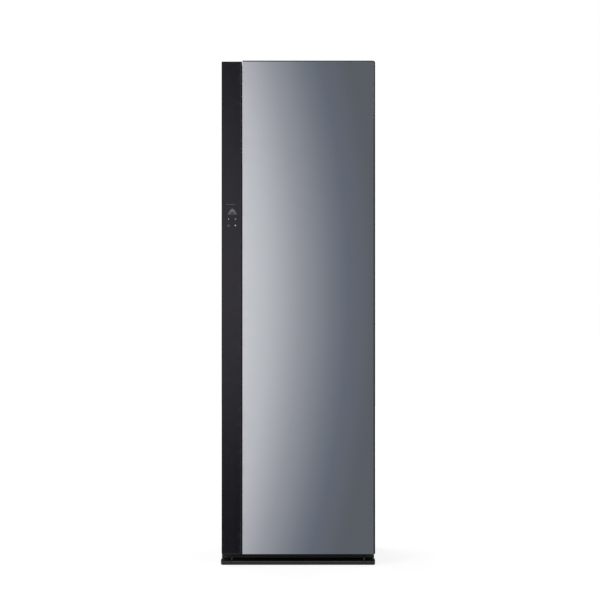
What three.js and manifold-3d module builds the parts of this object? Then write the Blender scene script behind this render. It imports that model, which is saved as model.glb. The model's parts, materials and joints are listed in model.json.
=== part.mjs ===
// A clothes care steam cabinet, drawn as the assembly that comes apart on a bench.
//
// A tall, narrow cabinet hangs garments from a bar that shakes them in steam. A mirrored door, hinged
// at its right edge, covers the garment chamber and the water tanks below it. Left of the door stands
// a fixed column of black glass with the controls. The machine that makes the steam and dries the air
// stands behind the tanks: compressor, coils, blower and steam generator.
//
// Millimetres, +X to the right, +Y to the back, +Z up. The origin is on the floor, under the middle
// of the cabinet's outline.
import * as THREE from 'three';
import { mergeVertices } from 'three/addons/utils/BufferGeometryUtils.js';
import Module from 'manifold-3d';

const wasm = await Module();
wasm.setup();

// Overall size.
const overallWidth = 600;
const overallDepth = 620;
const overallHeight = 1960;

// Shared by all pieces.
const clearance = 0.3; // between pieces that sit against each other
const overrun = 3; // how far a cutting tool runs past the face that it cuts
const edgeBevel = 1; // on turned and moulded edges
const roundSegments = 18; // facets round a drum or a disc
const shaftSegments = 12; // facets round a shaft
const cornerSegments = 3; // facets round a quarter of a corner

// Body shell.
const bodySideInset = 1.5; // the body stands in from the door's and plinth's sides
const bodyTopDrop = 10; // the body's top lies under the door's top
const kickHeight = 18; // underside of the body above the floor
const sheetThickness = 1.5; // painted steel
const shellFlange = 16;
const topSheetThickness = 3;
const topFieldInset = 26;
const topFieldSink = 1.2;
const topFieldRadius = 24;
const louvreRise = 3.7; // how far the rear louvres stand off the rear panels
const louvreRows = 4;
const louvreWidth = 180;
const louvrePitch = 44;
const louvreHood = 11; // height of the slanted hood over each louvre
const louvreSlit = 4;
const rearSplitHeight = 450; // lower rear panel's height
const rearRibWidth = 16;
const rearRibRise = 1.8;
const rearRibInset = 120; // rib's end from the upper rear panel's end

// Base frame, feet and plinth.
const trayFloor = 2;
const trayHeight = 24;
const trayWall = 2;
const footWebThickness = 6;
const trayLift = 2; // tray's underside above the body's underside
const footArmThickness = 3;
const footArmLift = 11;
const footArmWidth = 30;
const footInset = 20; // front foot's axis in from the side
const footSetback = 35; // front foot's axis behind the plinth's face
const footPadRadius = 15;
const footPadHeight = 6;
const footScrewRadius = 4;
const footScrewLength = 9;
const footScrewPlay = 0.5;
const rearFootRadius = 18;
const rearFootInset = 32;
const plinthMiddleLift = 1.5;
const plinthEndLift = 3;
const plinthWall = 2.3;
const plinthSlopeRun = 18; // depth over which the plinth's top slopes down to its front
const plinthSlopeDrop = 3.1;
const plinthNose = 1.2; // chamfer of the plinth's top front edge
const plinthSeam = 2; // between the middle strip and each foot cover
const plinthCorner = 8; // radius of the foot covers' outer corners
const footCoverWidth = 40;

// Door.
const doorThickness = 62;
const doorBottomGap = 24; // between the body's underside and the door's
const sealDepth = 8; // between the door's back and the body's front
const doorColumnGap = 3;
const glassThickness = 4;
const glassTopTrim = 4;
const glassSideTrim = 6;
const trimWall = 3;
const trimCorner = 4;
const doorTopCorner = 9; // radii of the door's right corners, seen from the front
const doorBottomCorner = 3;
const railWidth = 20; // handle rail at the door's free edge
const gripLip = 4; // rail in front of the finger groove
const gripOpening = 17;
const gripDepth = 13;
const gripRadius = 5;
const capPlate = 3.7; // end caps' outer plates
const capSkirt = 26;
const capWall = 3;
const innerPanelWall = 2.7;
const mouldingRise = 10; // the panel's raised middle, which stands in the chamber's mouth
const mouldingMargin = 10; // between the raised middle and the chamber's sides
const mouldingRadius = 24;
const sealWidth = 14;
const sealBulb = 4; // width of the seal's soft lip
const sealSideInset = 5;
const sealBottomInset = 10;
const sealTopInset = 6;
const sealHingeInset = 23;

// Door hinges: a pin in a plate at each end.
const hingeSideInset = 13; // hinge axis in from the door's right side
const hingeBackInset = 16; // hinge axis in front of the door's back
const hingePinRadius = 4;
const hingePinPlay = 0.3;
const hingePinLength = 20;
const hingeArmRadius = 9;
const hingePlate = 4;
const hingeReach = 70; // upper plate's length on the body's top
const hingeFootWidth = 35;
const hingePocketClearance = 13; // door cut away in front of the arm
const hingePocketInset = 4.5; // and beside it
const hingePocketDrop = 2.3;
const hingeFlangeDrop = 13;
const hingeCoverWall = 2;
const hingeCoverPlay = 1;
const hingeCoverHeight = 8.7;
const hingeDoorDrop = 5; // lower plate's top under the door

// Control column.
const columnInset = 2;
const columnWidth = 79;
const columnSetback = 26; // the column's glass behind the door's
const columnWall = 2.5;
const columnGlass = 3.2;
const columnGlassCorner = 2;
const boardWidth = 52;
const boardHeight = 150;
const boardThickness = 1.6;
const boardCentreHeight = 1357;
const boardStandoff = 5;
const boardPostSize = 6;

// Garment chamber.
const chamberLeftMargin = 24; // from the door's left edge
const chamberRightMargin = 42; // from the door's right edge
const chamberFloorHeight = 440;
const chamberBackSpace = 96.3; // room behind the chamber for the duct and the hose
const chamberRadius = 18;
const linerWall = 3;
const topCompartment = 70; // between the chamber's ceiling and the body's top
const frameThickness = 4;
const ledgeWidth = 12;
const ledgeHeight = 8;
const ledgeLift = 112; // ledges above the chamber's floor
const ledgeFrontInset = 100;
const ledgeRearInset = 15;

// Shelf.
const shelfThickness = 14;
const shelfSideGap = 5;
const shelfRim = 14;
const shelfRadius = 10;
const shelfBar = 10; // between two slots
const shelfSlotCount = 10;

// Chamber lamp, air outlet and steam nozzle.
const lampWidth = 120;
const lampDepth = 15;
const lampFrontInset = 25;
const lampLens = 3;
const outletNozzleGap = 59; // between the outlet and the nozzle's rosette
const outletHeight = 70;
const outletLift = 20;
const outletSideInset = 60;
const outletRim = 8;
const outletRimThickness = 3;
const outletVaneCount = 5;
const outletVane = 3;
const outletSlant = 4.5; // how far a vane drops from its middle to its edge
const nozzleRadius = 23;
const nozzleNeckRadius = 12;
const nozzleBore = 7;
const nozzleFlange = 5;
const nozzleHoleCount = 6;
const nozzleHoleRadius = 3;
const nozzleHoleCircle = 15;
const nozzleNeckLength = 18;
const nozzleSideInset = 68;
const nozzleLift = 60;

// Moving hanger: a crank's pin drives a yoke on a beam that slides along two guides.
const hangerTravel = 20; // to each side
const barRadius = 8;
const barDrop = 80; // bar's axis under the chamber's ceiling
const barOverhang = 10; // bar's ends outside its stems
const grooveDepth = 1.5;
const grooveWidth = 7;
const grooveCount = 5;
const grooveEndGap = 25; // from the last groove to the stem
const stemThickness = 12;
const stemDepth = 14;
const stemSideRoom = 60; // between a stem and the chamber's side
const stemShoe = 14; // bar's boss under the stem
const stemPlay = 2; // slot's room round the moving stem
const guideBase = 2.7;
const guideWall = 3;
const guideLength = 112;
const guidePlay = 0.5;
const beamDepth = 18;
const beamHeight = 12;
const beamOverhang = 20;
const yokeWidth = 46;
const yokeDepth = 82;
const crankPinRadius = 5;
const crankPinPlay = 0.5;
const crankPinGap = 0.5; // the pin's tip stays this far above the yoke
const crankPinLength = 3.5;
const crankRadius = 30;
const crankThickness = 6;
const crankShaftRadius = 4;
const crankShaftLength = 18;
const crankHub = 6;
const bridgeThickness = 3;
const bridgeWidth = 90;
const bridgeDepth = 122;
const bridgeHeight = 34;
const bridgeHoleRadius = 10;
const motorRadius = 32;
const motorHeight = 26;
const motorFlangeRadius = 38;
const motorFlange = 4;

// Garment hangers.
const hangerEndRoom = 35; // between a hanger's ends and the chamber's mouth or back
const hangerThickness = 14;
const hangerWire = 2.5; // hook's wire radius
const hangerHookPlay = 0.5;
const hangerStem = 36; // hook's straight part under the bar
const hangerNeck = 22; // width of the neck at the top of the shoulders
const hangerDrop = 92; // shoulders' ends under the neck
const hangerArm = 24; // height of a shoulder
const hangerBendShares = [0.55, 0.25]; // bend of a shoulder's curve: of its length, of its drop
const hangerGapInset = 38; // opening's ends in from the shoulders' ends
const hookSteps = 10;
const hookSegments = 3; // facets round half of the hook's wire
const hangerSegments = 5; // facets of each curve in the hanger's outline
const hookStartTurn = Math.PI * 0.95; // where the hook's free end lies round the bar
const hangerTip = 12;
const hangerBarHeight = 10; // trouser bar at the bottom
const hangerSlots = [1, 2, 3]; // grooves in use, counted from the left

// Trouser press on the door.
const pressMargin = 50; // beside the press on the moulding
const pressBottomHeight = 640;
const pressHeight = 800;
const pressBase = 6;
const pressGap = 3;
const pressPlate = 12;
const pressRadius = 14;
const pressAxisInset = 6; // hinge axis outside the plate's edge
const pressBarrelRadius = 6;
const pressEar = 15;
const pressPinRadius = 2.5;
const pressPinPlay = 0.3;
const pressPinLength = 9;
const pressSlotRows = 10;
const pressSlotHeight = 20;
const pressSlotMargin = 34;
const pressRib = 26;
const pressGripWidth = 12;
const pressGripHeight = 120;
const pressGripDepth = 6;
const clipRailHeight = 14;
const clipRailDepth = 22;
const clipRailLip = 5;

// Lint filter and scent case in the chamber's floor.
const filterSideRoom = 115; // between the filter's mouth and the chamber's sides
const filterDepth = 50;
const filterHeight = 108; // cassette under the floor
const filterWall = 3;
const filterPlay = 2;
const filterFrontInset = 25;
const filterRim = 6;
const filterRimThickness = 4;
const filterBar = 3;
const filterColumns = 5;
const filterRows = 2;
const filterHandleWidth = 80;
const filterHandleHeight = 32;
const filterHandleThickness = 8;
const handleSegments = 6; // facets of each curve of the handle
const caseWidth = 62;
const caseHeight = 40;
const caseGap = 26; // between the filter's rim and the case's
const caseKnob = 16;
const caseSlotCount = 3;
const caseSlot = 5;

// Water tanks and the fascia that holds them.
const fasciaBottomHeight = 70;
const fasciaTopGap = 12; // bar of the front frame between the fascia and the chamber
const fasciaThickness = 3;
const fasciaSink = 2; // fascia's face behind the frame's
const tankSideRoom = 32; // between a tank and the fascia's edge
const tankHeight = 210;
const tankBottomHeight = 96;
const tankSpacing = 54; // between the two tanks
const tankWall = 2.5;
const tankRadius = 14;
const tankSink = 4; // tank's face behind the fascia's
const tankPlay = 1.5;
const tankPocketWall = 2.5;
const tankGripInset = 37; // grip's ends in from the tank's sides
const tankGripHeight = 34;
const tankGripDepth = 22;
const tankGripDrop = 22;
const tankGripRadius = 10;
const lidThickness = 4;
const lidRim = 5;
const lidCapRadius = 22;
const lidCapHeight = 6;
const lidCapForward = 40; // fill cap's centre behind the tank's front

// Machine compartment.
const compressorRadius = 75;
const compressorHeight = 215;
const compressorSideInset = 98.5; // its axis from the body's side
const compressorBackInset = 101.3; // and from the body's back
const compressorFoot = 9;
const compressorDome = 26;
const compressorDomeShares = [[0.5, 0], [0.8, 0.25], [1, 1]]; // of its radius and its dome
const coilWidth = 226;
const coilDepth = 124;
const coilHeight = 270;
const coilShift = 38; // coil's middle left of the chamber's
const coilFrontGap = 56; // coil behind the tanks
const coilBackSpace = 211; // from the coil's front to the liner's back
const coilEndPlate = 4;
const finCount = 7;
const finThickness = 3;
const finInset = 12;
const coilTubeRadius = 7;
const coilTubeShares = [[0.3, 0.35], [0.7, 0.65]]; // of the coil's depth and height
const coilTubeSegments = 6;
const scrollWall = 2.5;
const scrollHeight = 78;
const scrollStartRadius = 80;
const scrollGrowth = 30;
const scrollSteps = 24;
const scrollInletRadius = 52;
const ductDepth = 44;
const ductWall = 2.5;
const ductMargin = 6; // duct's walls outside the openings that it joins
const scrollOutletWidth = 78;
const wheelRadius = 70;
const wheelHeight = 56;
const wheelHub = 20;
const wheelBladeCount = 12;
const wheelBladeDepth = 16;
const wheelBladeThickness = 1.8;
const bladeSegments = 2; // facets of each curve of a blade
const wheelDisc = 3;
const wheelRing = 3;
const wheelShaftRadius = 4;
const boilerWidth = 110;
const boilerDepth = 86;
const boilerHeight = 190;
const boilerSideInset = 93.5;
const boilerBackInset = 56.3;
const boilerRadius = 20;
const boilerFlange = 5;
const boilerFlangeThickness = 4;
const boilerFlangeDrop = 57; // flange's underside under the vessel's top
const hoseRadius = 9;
const hoseBore = 5;
const hoseBend = 48; // height over which the hose turns to the front
const hoseSpigot = 20;
const hoseSteps = 12;
const hoseSegments = 8;
const hoseFacetShare = Math.cos(Math.PI / hoseSegments); // a facet's middle, of the bore's radius
const glandSideInset = 58.5;
const glandHeight = 110;
const glandRadius = 16;
const glandBore = 5;
const glandCollar = 4;
const glandNeck = 12;

// Places that several pieces share.
const right = overallWidth / 2;
const left = -right;
const front = -overallDepth / 2;
const rear = overallDepth / 2;
const doorBackY = front + doorThickness;
const bodyFrontY = doorBackY + sealDepth;
const bodyBackY = rear - louvreRise;
const bodyLeftX = left + bodySideInset;
const bodyRightX = right - bodySideInset;
const bodyTopZ = overallHeight - bodyTopDrop;
const bodyBottomZ = kickHeight;
const shellTopZ = bodyTopZ - topSheetThickness - clearance;
const frameBackY = bodyFrontY + frameThickness;
const doorLeftX = left + columnInset + columnWidth + doorColumnGap;
const doorBottomZ = kickHeight + doorBottomGap;
const doorTopZ = overallHeight;
const glassBackY = front + glassThickness;
const panelFrontY = doorBackY - innerPanelWall;
const chamberX0 = doorLeftX + chamberLeftMargin;
const chamberX1 = right - chamberRightMargin;
const chamberX = (chamberX0 + chamberX1) / 2;
const chamberZ0 = chamberFloorHeight;
const chamberZ1 = bodyTopZ - topCompartment;
const chamberBackY = bodyBackY - chamberBackSpace;
const chamberWidth = chamberX1 - chamberX0;
const chamberDepth = chamberBackY - bodyFrontY;
const linerTopZ = chamberZ1 + linerWall;
const linerBottomZ = chamberZ0 - linerWall;
const linerBackY = chamberBackY + linerWall;
const hingeX = right - hingeSideInset;
const hingeY = doorBackY - hingeBackInset;
const trayFloorZ = bodyBottomZ + trayLift + trayFloor;
const machineFloorZ = trayFloorZ + clearance;
const barY = (bodyFrontY + chamberBackY) / 2;
const stemSpacing = chamberWidth / 2 - stemSideRoom;
const groovePitch = 2 * (stemSpacing - grooveEndGap) / (grooveCount - 1);
const barZ = chamberZ1 - barDrop;
const guideTopZ = linerTopZ + clearance + guideBase;
const beamBottomZ = guideTopZ + clearance;
const beamTopZ = beamBottomZ + beamHeight;
const crankBottomZ = beamTopZ + crankPinGap + crankPinLength;
const bridgeTopZ = linerTopZ + clearance + bridgeHeight;
const fasciaFrontY = bodyFrontY + fasciaSink;
const tankFrontY = fasciaFrontY + tankSink;
const tankWidth = (chamberWidth - tankSpacing) / 2 - tankSideRoom;
const tankX = [-1, 1].map((side) => chamberX + side * (tankWidth + tankSpacing) / 2);
const filterFrontY = bodyFrontY + filterFrontInset;
const filterWidth = chamberWidth - 2 * filterSideRoom;
const filterBackY = filterFrontY + filterDepth;
const caseX = chamberX + filterWidth / 2 + filterRim + caseGap + caseWidth / 2;
const coilTopZ = machineFloorZ + coilHeight;
const coilCentreX = chamberX - coilShift;
const coilFrontY = linerBackY - coilBackSpace;
const tankDepth = coilFrontY - coilFrontGap - tankFrontY;
const coilMiddleY = coilFrontY + coilDepth / 2;
const compressorX = bodyLeftX + compressorSideInset;
const compressorY = bodyBackY - compressorBackInset;
const boilerX = bodyRightX - boilerSideInset;
const boilerY = bodyBackY - boilerBackInset;
const glandX = bodyLeftX + glandSideInset;
const scrollBottomZ = coilTopZ + clearance;
const scrollTopZ = scrollBottomZ + scrollHeight;
const scrollOutletX1 = coilCentreX + scrollStartRadius + scrollGrowth;
const scrollOutletX0 = scrollOutletX1 - scrollOutletWidth;
const nozzleX = chamberX1 - nozzleSideInset;
const nozzleZ = chamberZ0 + nozzleLift;

// Materials, one for each finish.
const finish = (color, roughness, metalness) => new THREE.MeshStandardMaterial({
  color, roughness, metalness, flatShading: true,
});
const mirror = finish(0x9a9ea8, 0.08, 1);
const blackGlass = finish(0x1c1c20, 0.12, 0);
const darkPaint = finish(0x2b2b2e, 0.45, 0.2);
const darkTrim = finish(0x3a3b3e, 0.35, 0.8);
const blackPlastic = finish(0x1a1a1c, 0.55, 0);
const linerPlastic = finish(0x4a4744, 0.4, 0);
const framePlastic = finish(0x2e2d2d, 0.45, 0);
const rubber = finish(0x2a2a2a, 0.85, 0);
const zinc = finish(0xa8abad, 0.4, 0.9);
const stainless = finish(0xc6c7c8, 0.3, 1);
const aluminium = finish(0xb9bcc0, 0.35, 0.9);
const tankPlastic = finish(0x8fa3ad, 0.15, 0);
const greyPlastic = finish(0x8c8d8f, 0.5, 0);
const lampLensWhite = finish(0xf4f1e6, 0.3, 0);
const board = finish(0x1f5a3a, 0.6, 0);

// Solids.

// A closed three.js geometry as a solid, turned right side out.
function solid(geometry) {
  const bare = geometry.index ? geometry.toNonIndexed() : geometry.clone();
  bare.deleteAttribute('normal');
  bare.deleteAttribute('uv');
  const merged = mergeVertices(bare, 1e-4);
  const at = merged.attributes.position;
  const index = merged.index.array;
  const faces = [];
  const [a, b, c] = [new THREE.Vector3(), new THREE.Vector3(), new THREE.Vector3()];
  let volume = 0;
  for (let i = 0; i < index.length; i += 3) {
    const [p, q, r] = [index[i], index[i + 1], index[i + 2]];
    if (p === q || q === r || p === r) continue;
    faces.push([p, q, r]);
    a.fromBufferAttribute(at, p);
    b.fromBufferAttribute(at, q);
    c.fromBufferAttribute(at, r);
    volume += a.dot(b.cross(c));
  }
  const outward = volume > 0 ? faces : faces.map(([p, q, r]) => [p, r, q]);
  return new wasm.Manifold(new wasm.Mesh({
    numProp: 3,
    vertProperties: new Float32Array(at.array),
    triVerts: new Uint32Array(outward.flat()),
  }));
}

// A box between two corners.
function block(x0, x1, y0, y1, z0, z1) {
  const box = new THREE.BoxGeometry(x1 - x0, y1 - y0, z1 - z0);
  return solid(box.translate((x0 + x1) / 2, (y0 + y1) / 2, (z0 + z1) / 2));
}

// A rectangle with four corner radii: low-low, high-low, high-high, low-high.
function rectangle(u0, u1, v0, v1, radii = 0) {
  const [r0, r1, r2, r3] = Array.isArray(radii) ? radii : [radii, radii, radii, radii];
  const shape = new THREE.Shape();
  const corner = (u, v, r, turn) => {
    if (r > 0) shape.absarc(u, v, r, turn * Math.PI / 2, (turn + 1) * Math.PI / 2);
    else shape.lineTo(u, v);
  };
  shape.moveTo(u0, v0 + r0);
  corner(u0 + r0, v0 + r0, r0, 2);
  corner(u1 - r1, v0 + r1, r1, 3);
  corner(u1 - r2, v1 - r2, r2, 0);
  corner(u0 + r3, v1 - r3, r3, 1);
  shape.closePath();
  return shape;
}

// An outline pushed along an axis. Its own axes are (x, y) for z, (x, z) for y and (y, z) for x.
function prism(shape, axis, from, to, curveSegments = cornerSegments) {
  const depth = to - from;
  const pushed = new THREE.ExtrudeGeometry(shape, { depth, bevelEnabled: false, curveSegments });
  if (axis === 'z') pushed.translate(0, 0, from);
  if (axis === 'y') pushed.rotateX(Math.PI / 2).translate(0, to, 0);
  if (axis === 'x') {
    const cyclic = new THREE.Matrix4().makeBasis(
      new THREE.Vector3(0, 1, 0), new THREE.Vector3(0, 0, 1), new THREE.Vector3(1, 0, 0));
    pushed.applyMatrix4(cyclic).translate(from, 0, 0);
  }
  return solid(pushed);
}

// A profile of [radius, height] points turned about an axis through a point.
function turned(profile, axis, at, segments = roundSegments) {
  const points = profile.map(([radius, height]) => new THREE.Vector2(radius, height));
  const shape = new THREE.LatheGeometry(points, segments);
  if (axis === 'z') shape.rotateX(Math.PI / 2);
  if (axis === 'x') shape.rotateZ(-Math.PI / 2);
  return solid(shape.translate(...at));
}

// A round rod from one height to another along an axis. `at` gives the other two coordinates.
function rod(radius, axis, from, to, at, segments = roundSegments) {
  return turned([[0, from], [radius, from], [radius, to], [0, to]], axis, at, segments);
}

const join = (...solids) => solids.reduce((sum, next) => sum.add(next));
const cut = (base, ...tools) => tools.reduce((rest, tool) => rest.subtract(tool), base);

// The same x range on the left (-1) or right (+1) of a middle line.
const mirrored = (side, near, far) => (side > 0 ? [near, far] : [-far, -near]);

// A range split into `count` equal openings with `bar` between and around them.
function openings(from, to, count, bar) {
  const width = (to - from - bar * (count + 1)) / count;
  return Array.from({ length: count }, (_, i) => {
    const start = from + bar + i * (width + bar);
    return [start, start + width];
  });
}

// Base frame, feet and plinth.

const footX = (side) => side * (right - footInset);
const footY = front + footSetback;
const plinthBackY = bodyFrontY - 2 * clearance;

// Steel tray that carries the machine, with an arm out to each front foot.
function baseFrame() {
  const [x0, x1] = [bodyLeftX + sheetThickness + clearance, bodyRightX - sheetThickness - clearance];
  const [y0, y1] = [frameBackY + clearance, bodyBackY - sheetThickness - clearance];
  const z0 = bodyBottomZ + trayLift;
  const tray = cut(
    block(x0, x1, y0, y1, z0, z0 + trayHeight),
    block(x0 + trayWall, x1 - trayWall, y0 + trayWall, y1 - trayWall,
      trayFloorZ, z0 + trayHeight + overrun),
  );
  const arms = [-1, 1].map((side) => {
    const [a0, a1] = [footX(side) - footArmWidth / 2, footX(side) + footArmWidth / 2];
    const [armY0, webY] = [footY - footArmWidth / 2, y0 + footWebThickness];
    return cut(
      join(
        prism(rectangle(a0, a1, armY0, webY, [footArmWidth / 3, footArmWidth / 3, 0, 0]),
          'z', footArmLift, footArmLift + footArmThickness),
        block(a0, a1, y0, webY, footArmLift, trayFloorZ),
      ),
      rod(footScrewRadius + footScrewPlay, 'z', 0, bodyBottomZ, [footX(side), footY, 0]),
    );
  });
  return join(tray, ...arms);
}

// Front foot: a pad on a screw that turns in the frame's arm.
function frontFoot() {
  return turned([
    [0, 0], [footPadRadius - edgeBevel, 0], [footPadRadius, edgeBevel],
    [footPadRadius, footPadHeight / 2], [footPadRadius / 2, footPadHeight],
    [footScrewRadius, footPadHeight], [footScrewRadius, footPadHeight + footScrewLength],
    [0, footPadHeight + footScrewLength],
  ], 'z', [0, 0, 0], shaftSegments);
}

function rearFoot() {
  const top = bodyBottomZ + trayLift - clearance;
  return turned([
    [0, 0], [rearFootRadius, 0], [rearFootRadius, top / 2], [rearFootRadius / 2, top], [0, top],
  ], 'z', [0, 0, 0], shaftSegments);
}

// The plinth's section across y and z. Its top slopes down to the front.
function plinthSection(lift, backY, inset = 0) {
  const top = kickHeight - clearance - inset;
  const frontY = front + inset;
  return new THREE.Shape([
    new THREE.Vector2(frontY, lift),
    new THREE.Vector2(backY, lift),
    new THREE.Vector2(backY, top),
    new THREE.Vector2(front + plinthSlopeRun, top),
    new THREE.Vector2(frontY + plinthNose, top - plinthSlopeDrop),
    new THREE.Vector2(frontY, top - plinthSlopeDrop - plinthNose),
  ]);
}

// Tongue that holds the plinth under the body's front edge.
function plinthTongue(x0, x1) {
  return block(x0, x1, bodyFrontY - plinthWall, frameBackY,
    kickHeight - clearance - plinthWall, kickHeight - clearance);
}

// Middle strip of the plinth.
function plinthStrip() {
  const x1 = right - footCoverWidth - plinthSeam;
  const x0 = -x1;
  return join(
    cut(
      prism(plinthSection(plinthMiddleLift, plinthBackY), 'x', x0, x1),
      prism(plinthSection(plinthMiddleLift - overrun, bodyFrontY, plinthWall), 'x',
        x0 + plinthWall, x1 - plinthWall),
    ),
    plinthTongue(x0, x1),
  );
}

// Cover over one front foot, at the end of the plinth.
function footCover(side) {
  const [x0, x1] = mirrored(side, right - footCoverWidth, right);
  const radii = side > 0 ? [0, plinthCorner, 0, 0] : [plinthCorner, 0, 0, 0];
  const innerRadii = radii.map((radius) => Math.max(radius - plinthWall, 0));
  const outside = prism(rectangle(x0, x1, front, plinthBackY, radii), 'z', plinthEndLift, kickHeight);
  const inside = prism(rectangle(x0 + plinthWall, x1 - plinthWall, front + plinthWall, bodyFrontY,
    innerRadii), 'z', plinthEndLift - overrun, kickHeight);
  const tongue = mirrored(side, right - footCoverWidth, bodyRightX - 2 * sheetThickness);
  return join(
    cut(
      outside.intersect(prism(plinthSection(plinthEndLift, plinthBackY), 'x', x0, x1)),
      inside.intersect(prism(plinthSection(plinthEndLift - overrun, bodyFrontY, plinthWall), 'x', x0, x1)),
    ),
    plinthTongue(...tongue),
  );
}

// Body shell.

// Side panel: one folded sheet with a flange at the front and the back.
function sidePanel(side) {
  const [x0, x1] = mirrored(side, bodyRightX - shellFlange, bodyRightX);
  const [i0, i1] = mirrored(side, bodyRightX - shellFlange - overrun, bodyRightX - sheetThickness);
  const [y0, y1] = [frameBackY + clearance, bodyBackY - sheetThickness - clearance];
  // The flanges stop above the base tray, so that only the sheet passes beside it.
  return cut(
    block(x0, x1, y0, y1, bodyBottomZ, shellTopZ),
    block(i0, i1, y0 + sheetThickness, y1 - sheetThickness, bodyBottomZ - overrun, shellTopZ + overrun),
    block(i0, i1, y0 - overrun, y1 + overrun, bodyBottomZ - overrun,
      bodyBottomZ + trayLift + trayHeight + clearance),
  );
}

// Top sheet, its field pressed in a little inside a flat margin.
function topPanel() {
  const [z0, z1] = [bodyTopZ - topSheetThickness, bodyTopZ];
  return cut(
    block(bodyLeftX, bodyRightX, bodyFrontY, bodyBackY, z0, z1),
    prism(rectangle(bodyLeftX + topFieldInset, bodyRightX - topFieldInset,
      bodyFrontY + hingeReach + topFieldInset, bodyBackY - topFieldInset, topFieldRadius),
    'z', z1 - topFieldSink, z1 + overrun),
  );
}

const rearSplitZ = bodyBottomZ + rearSplitHeight;

// Upper rear panel: a flat sheet with two pressed ribs.
function rearPanelUpper() {
  const [x0, x1] = [bodyLeftX + sheetThickness, bodyRightX - sheetThickness];
  const ribs = [-1, 1].map((side) => {
    const [r0, r1] = mirrored(side, (bodyRightX - rearRibWidth) / 2, (bodyRightX + rearRibWidth) / 2);
    return prism(rectangle(r0, r1, rearSplitZ + rearRibInset, shellTopZ - rearRibInset, rearRibWidth / 2),
      'y', bodyBackY - sheetThickness / 2, bodyBackY + rearRibRise);
  });
  return join(
    block(x0, x1, bodyBackY - sheetThickness, bodyBackY, rearSplitZ + clearance, shellTopZ),
    ...ribs,
  );
}

// Lower rear panel: louvres for the machine's air and the hole for the mains gland.
function rearPanelLower() {
  const [x0, x1] = [bodyLeftX + sheetThickness, bodyRightX - sheetThickness];
  const sheet = block(x0, x1, bodyBackY - sheetThickness, bodyBackY, bodyBottomZ, rearSplitZ);
  const hoods = [];
  const slits = [];
  for (let row = 1; row <= louvreRows; row += 1) {
    const z = rearSplitZ - louvrePitch * row;
    const hoodSection = new THREE.Shape([
      new THREE.Vector2(bodyBackY - sheetThickness / 2, z + louvreHood),
      new THREE.Vector2(bodyBackY - sheetThickness / 2, z),
      new THREE.Vector2(rear, z),
    ]);
    for (const side of [-1, 1]) {
      const [a, b] = mirrored(side, (bodyRightX - louvreWidth) / 2, (bodyRightX + louvreWidth) / 2);
      hoods.push(prism(hoodSection, 'x', a, b));
      slits.push(block(a + louvreSlit, b - louvreSlit, bodyBackY - sheetThickness - overrun,
        bodyBackY + overrun, z - louvreSlit, z));
    }
  }
  return cut(join(sheet, ...hoods), ...slits, rod(glandRadius + clearance, 'y',
    bodyBackY - overrun, bodyBackY + overrun, [glandX, 0, glandHeight], shaftSegments));
}

// Gland where the mains lead would enter.
function mainsGland() {
  const [y0, y1] = [bodyBackY - glandNeck, bodyBackY + louvreRise];
  return turned([
    [glandBore, y0], [glandRadius - edgeBevel, y0], [glandRadius, y0 + edgeBevel],
    [glandRadius, bodyBackY + clearance], [glandRadius + glandCollar, bodyBackY + clearance],
    [glandRadius + glandCollar, y1 - edgeBevel], [glandRadius, y1], [glandBore, y1], [glandBore, y0],
  ], 'y', [glandX, 0, glandHeight], shaftSegments);
}

// Moulded frame that the door closes on, with the mouths of the chamber and the fascia.
function frontFrame() {
  const fasciaTop = chamberZ0 - fasciaTopGap;
  return cut(
    block(bodyLeftX, bodyRightX, bodyFrontY, frameBackY, bodyBottomZ, shellTopZ),
    prism(rectangle(chamberX0, chamberX1, chamberZ0, chamberZ1, chamberRadius), 'y',
      bodyFrontY - overrun, frameBackY + overrun),
    block(chamberX0, chamberX1, bodyFrontY - overrun, frameBackY + overrun,
      fasciaBottomHeight, fasciaTop),
  );
}

// Control column.

const columnX0 = left + columnInset;
const columnX1 = columnX0 + columnWidth;
const columnGlassY = front + columnSetback;
const columnBodyY = columnGlassY + columnGlass + clearance;

// The column's housing, open at the back against the front frame, with posts for the board.
function controlColumn() {
  const shell = cut(
    block(columnX0, columnX1, columnBodyY, bodyFrontY - clearance, doorBottomZ, doorTopZ),
    block(columnX0 + columnWall, columnX1 - columnWall, columnBodyY + columnWall, bodyFrontY,
      doorBottomZ + columnWall, doorTopZ - columnWall),
  );
  const middle = (columnX0 + columnX1) / 2;
  const posts = [-1, 1].flatMap((u) => [-1, 1].map((v) => {
    const x = middle + u * (boardWidth / 2 - boardPostSize);
    const z = boardCentreHeight + v * (boardHeight / 2 - boardPostSize);
    return block(x - boardPostSize / 2, x + boardPostSize / 2, columnBodyY + columnWall / 2,
      columnBodyY + columnWall + boardStandoff, z - boardPostSize / 2, z + boardPostSize / 2);
  }));
  return join(shell, ...posts);
}

function controlGlass() {
  return prism(rectangle(columnX0, columnX1, doorBottomZ, doorTopZ, columnGlassCorner),
    'y', columnGlassY, columnGlassY + columnGlass);
}

function controlBoard() {
  const x = (columnX0 + columnX1) / 2;
  const y = columnBodyY + columnWall + boardStandoff + clearance;
  return prism(rectangle(x - boardWidth / 2, x + boardWidth / 2, boardCentreHeight - boardHeight / 2,
    boardCentreHeight + boardHeight / 2, boardPostSize / 2), 'y', y, y + boardThickness);
}

// Door.

// The door's outline seen from the front: square at the handle, rounded at the hinge side.
const doorOutline = () => rectangle(doorLeftX, right, doorBottomZ, doorTopZ,
  [0, doorBottomCorner, doorTopCorner, 0]);

// Space that the upper hinge plate sweeps in the door.
const hingePocket = () => block(hingeX - hingeArmRadius - hingePocketInset, right + overrun,
  hingeY - hingeArmRadius - hingePocketClearance, doorBackY + overrun,
  bodyTopZ - hingePocketDrop, doorTopZ + overrun);

function doorGlass() {
  return prism(rectangle(doorLeftX, right - glassSideTrim, doorBottomZ, doorTopZ - glassTopTrim),
    'y', front, glassBackY);
}

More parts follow.
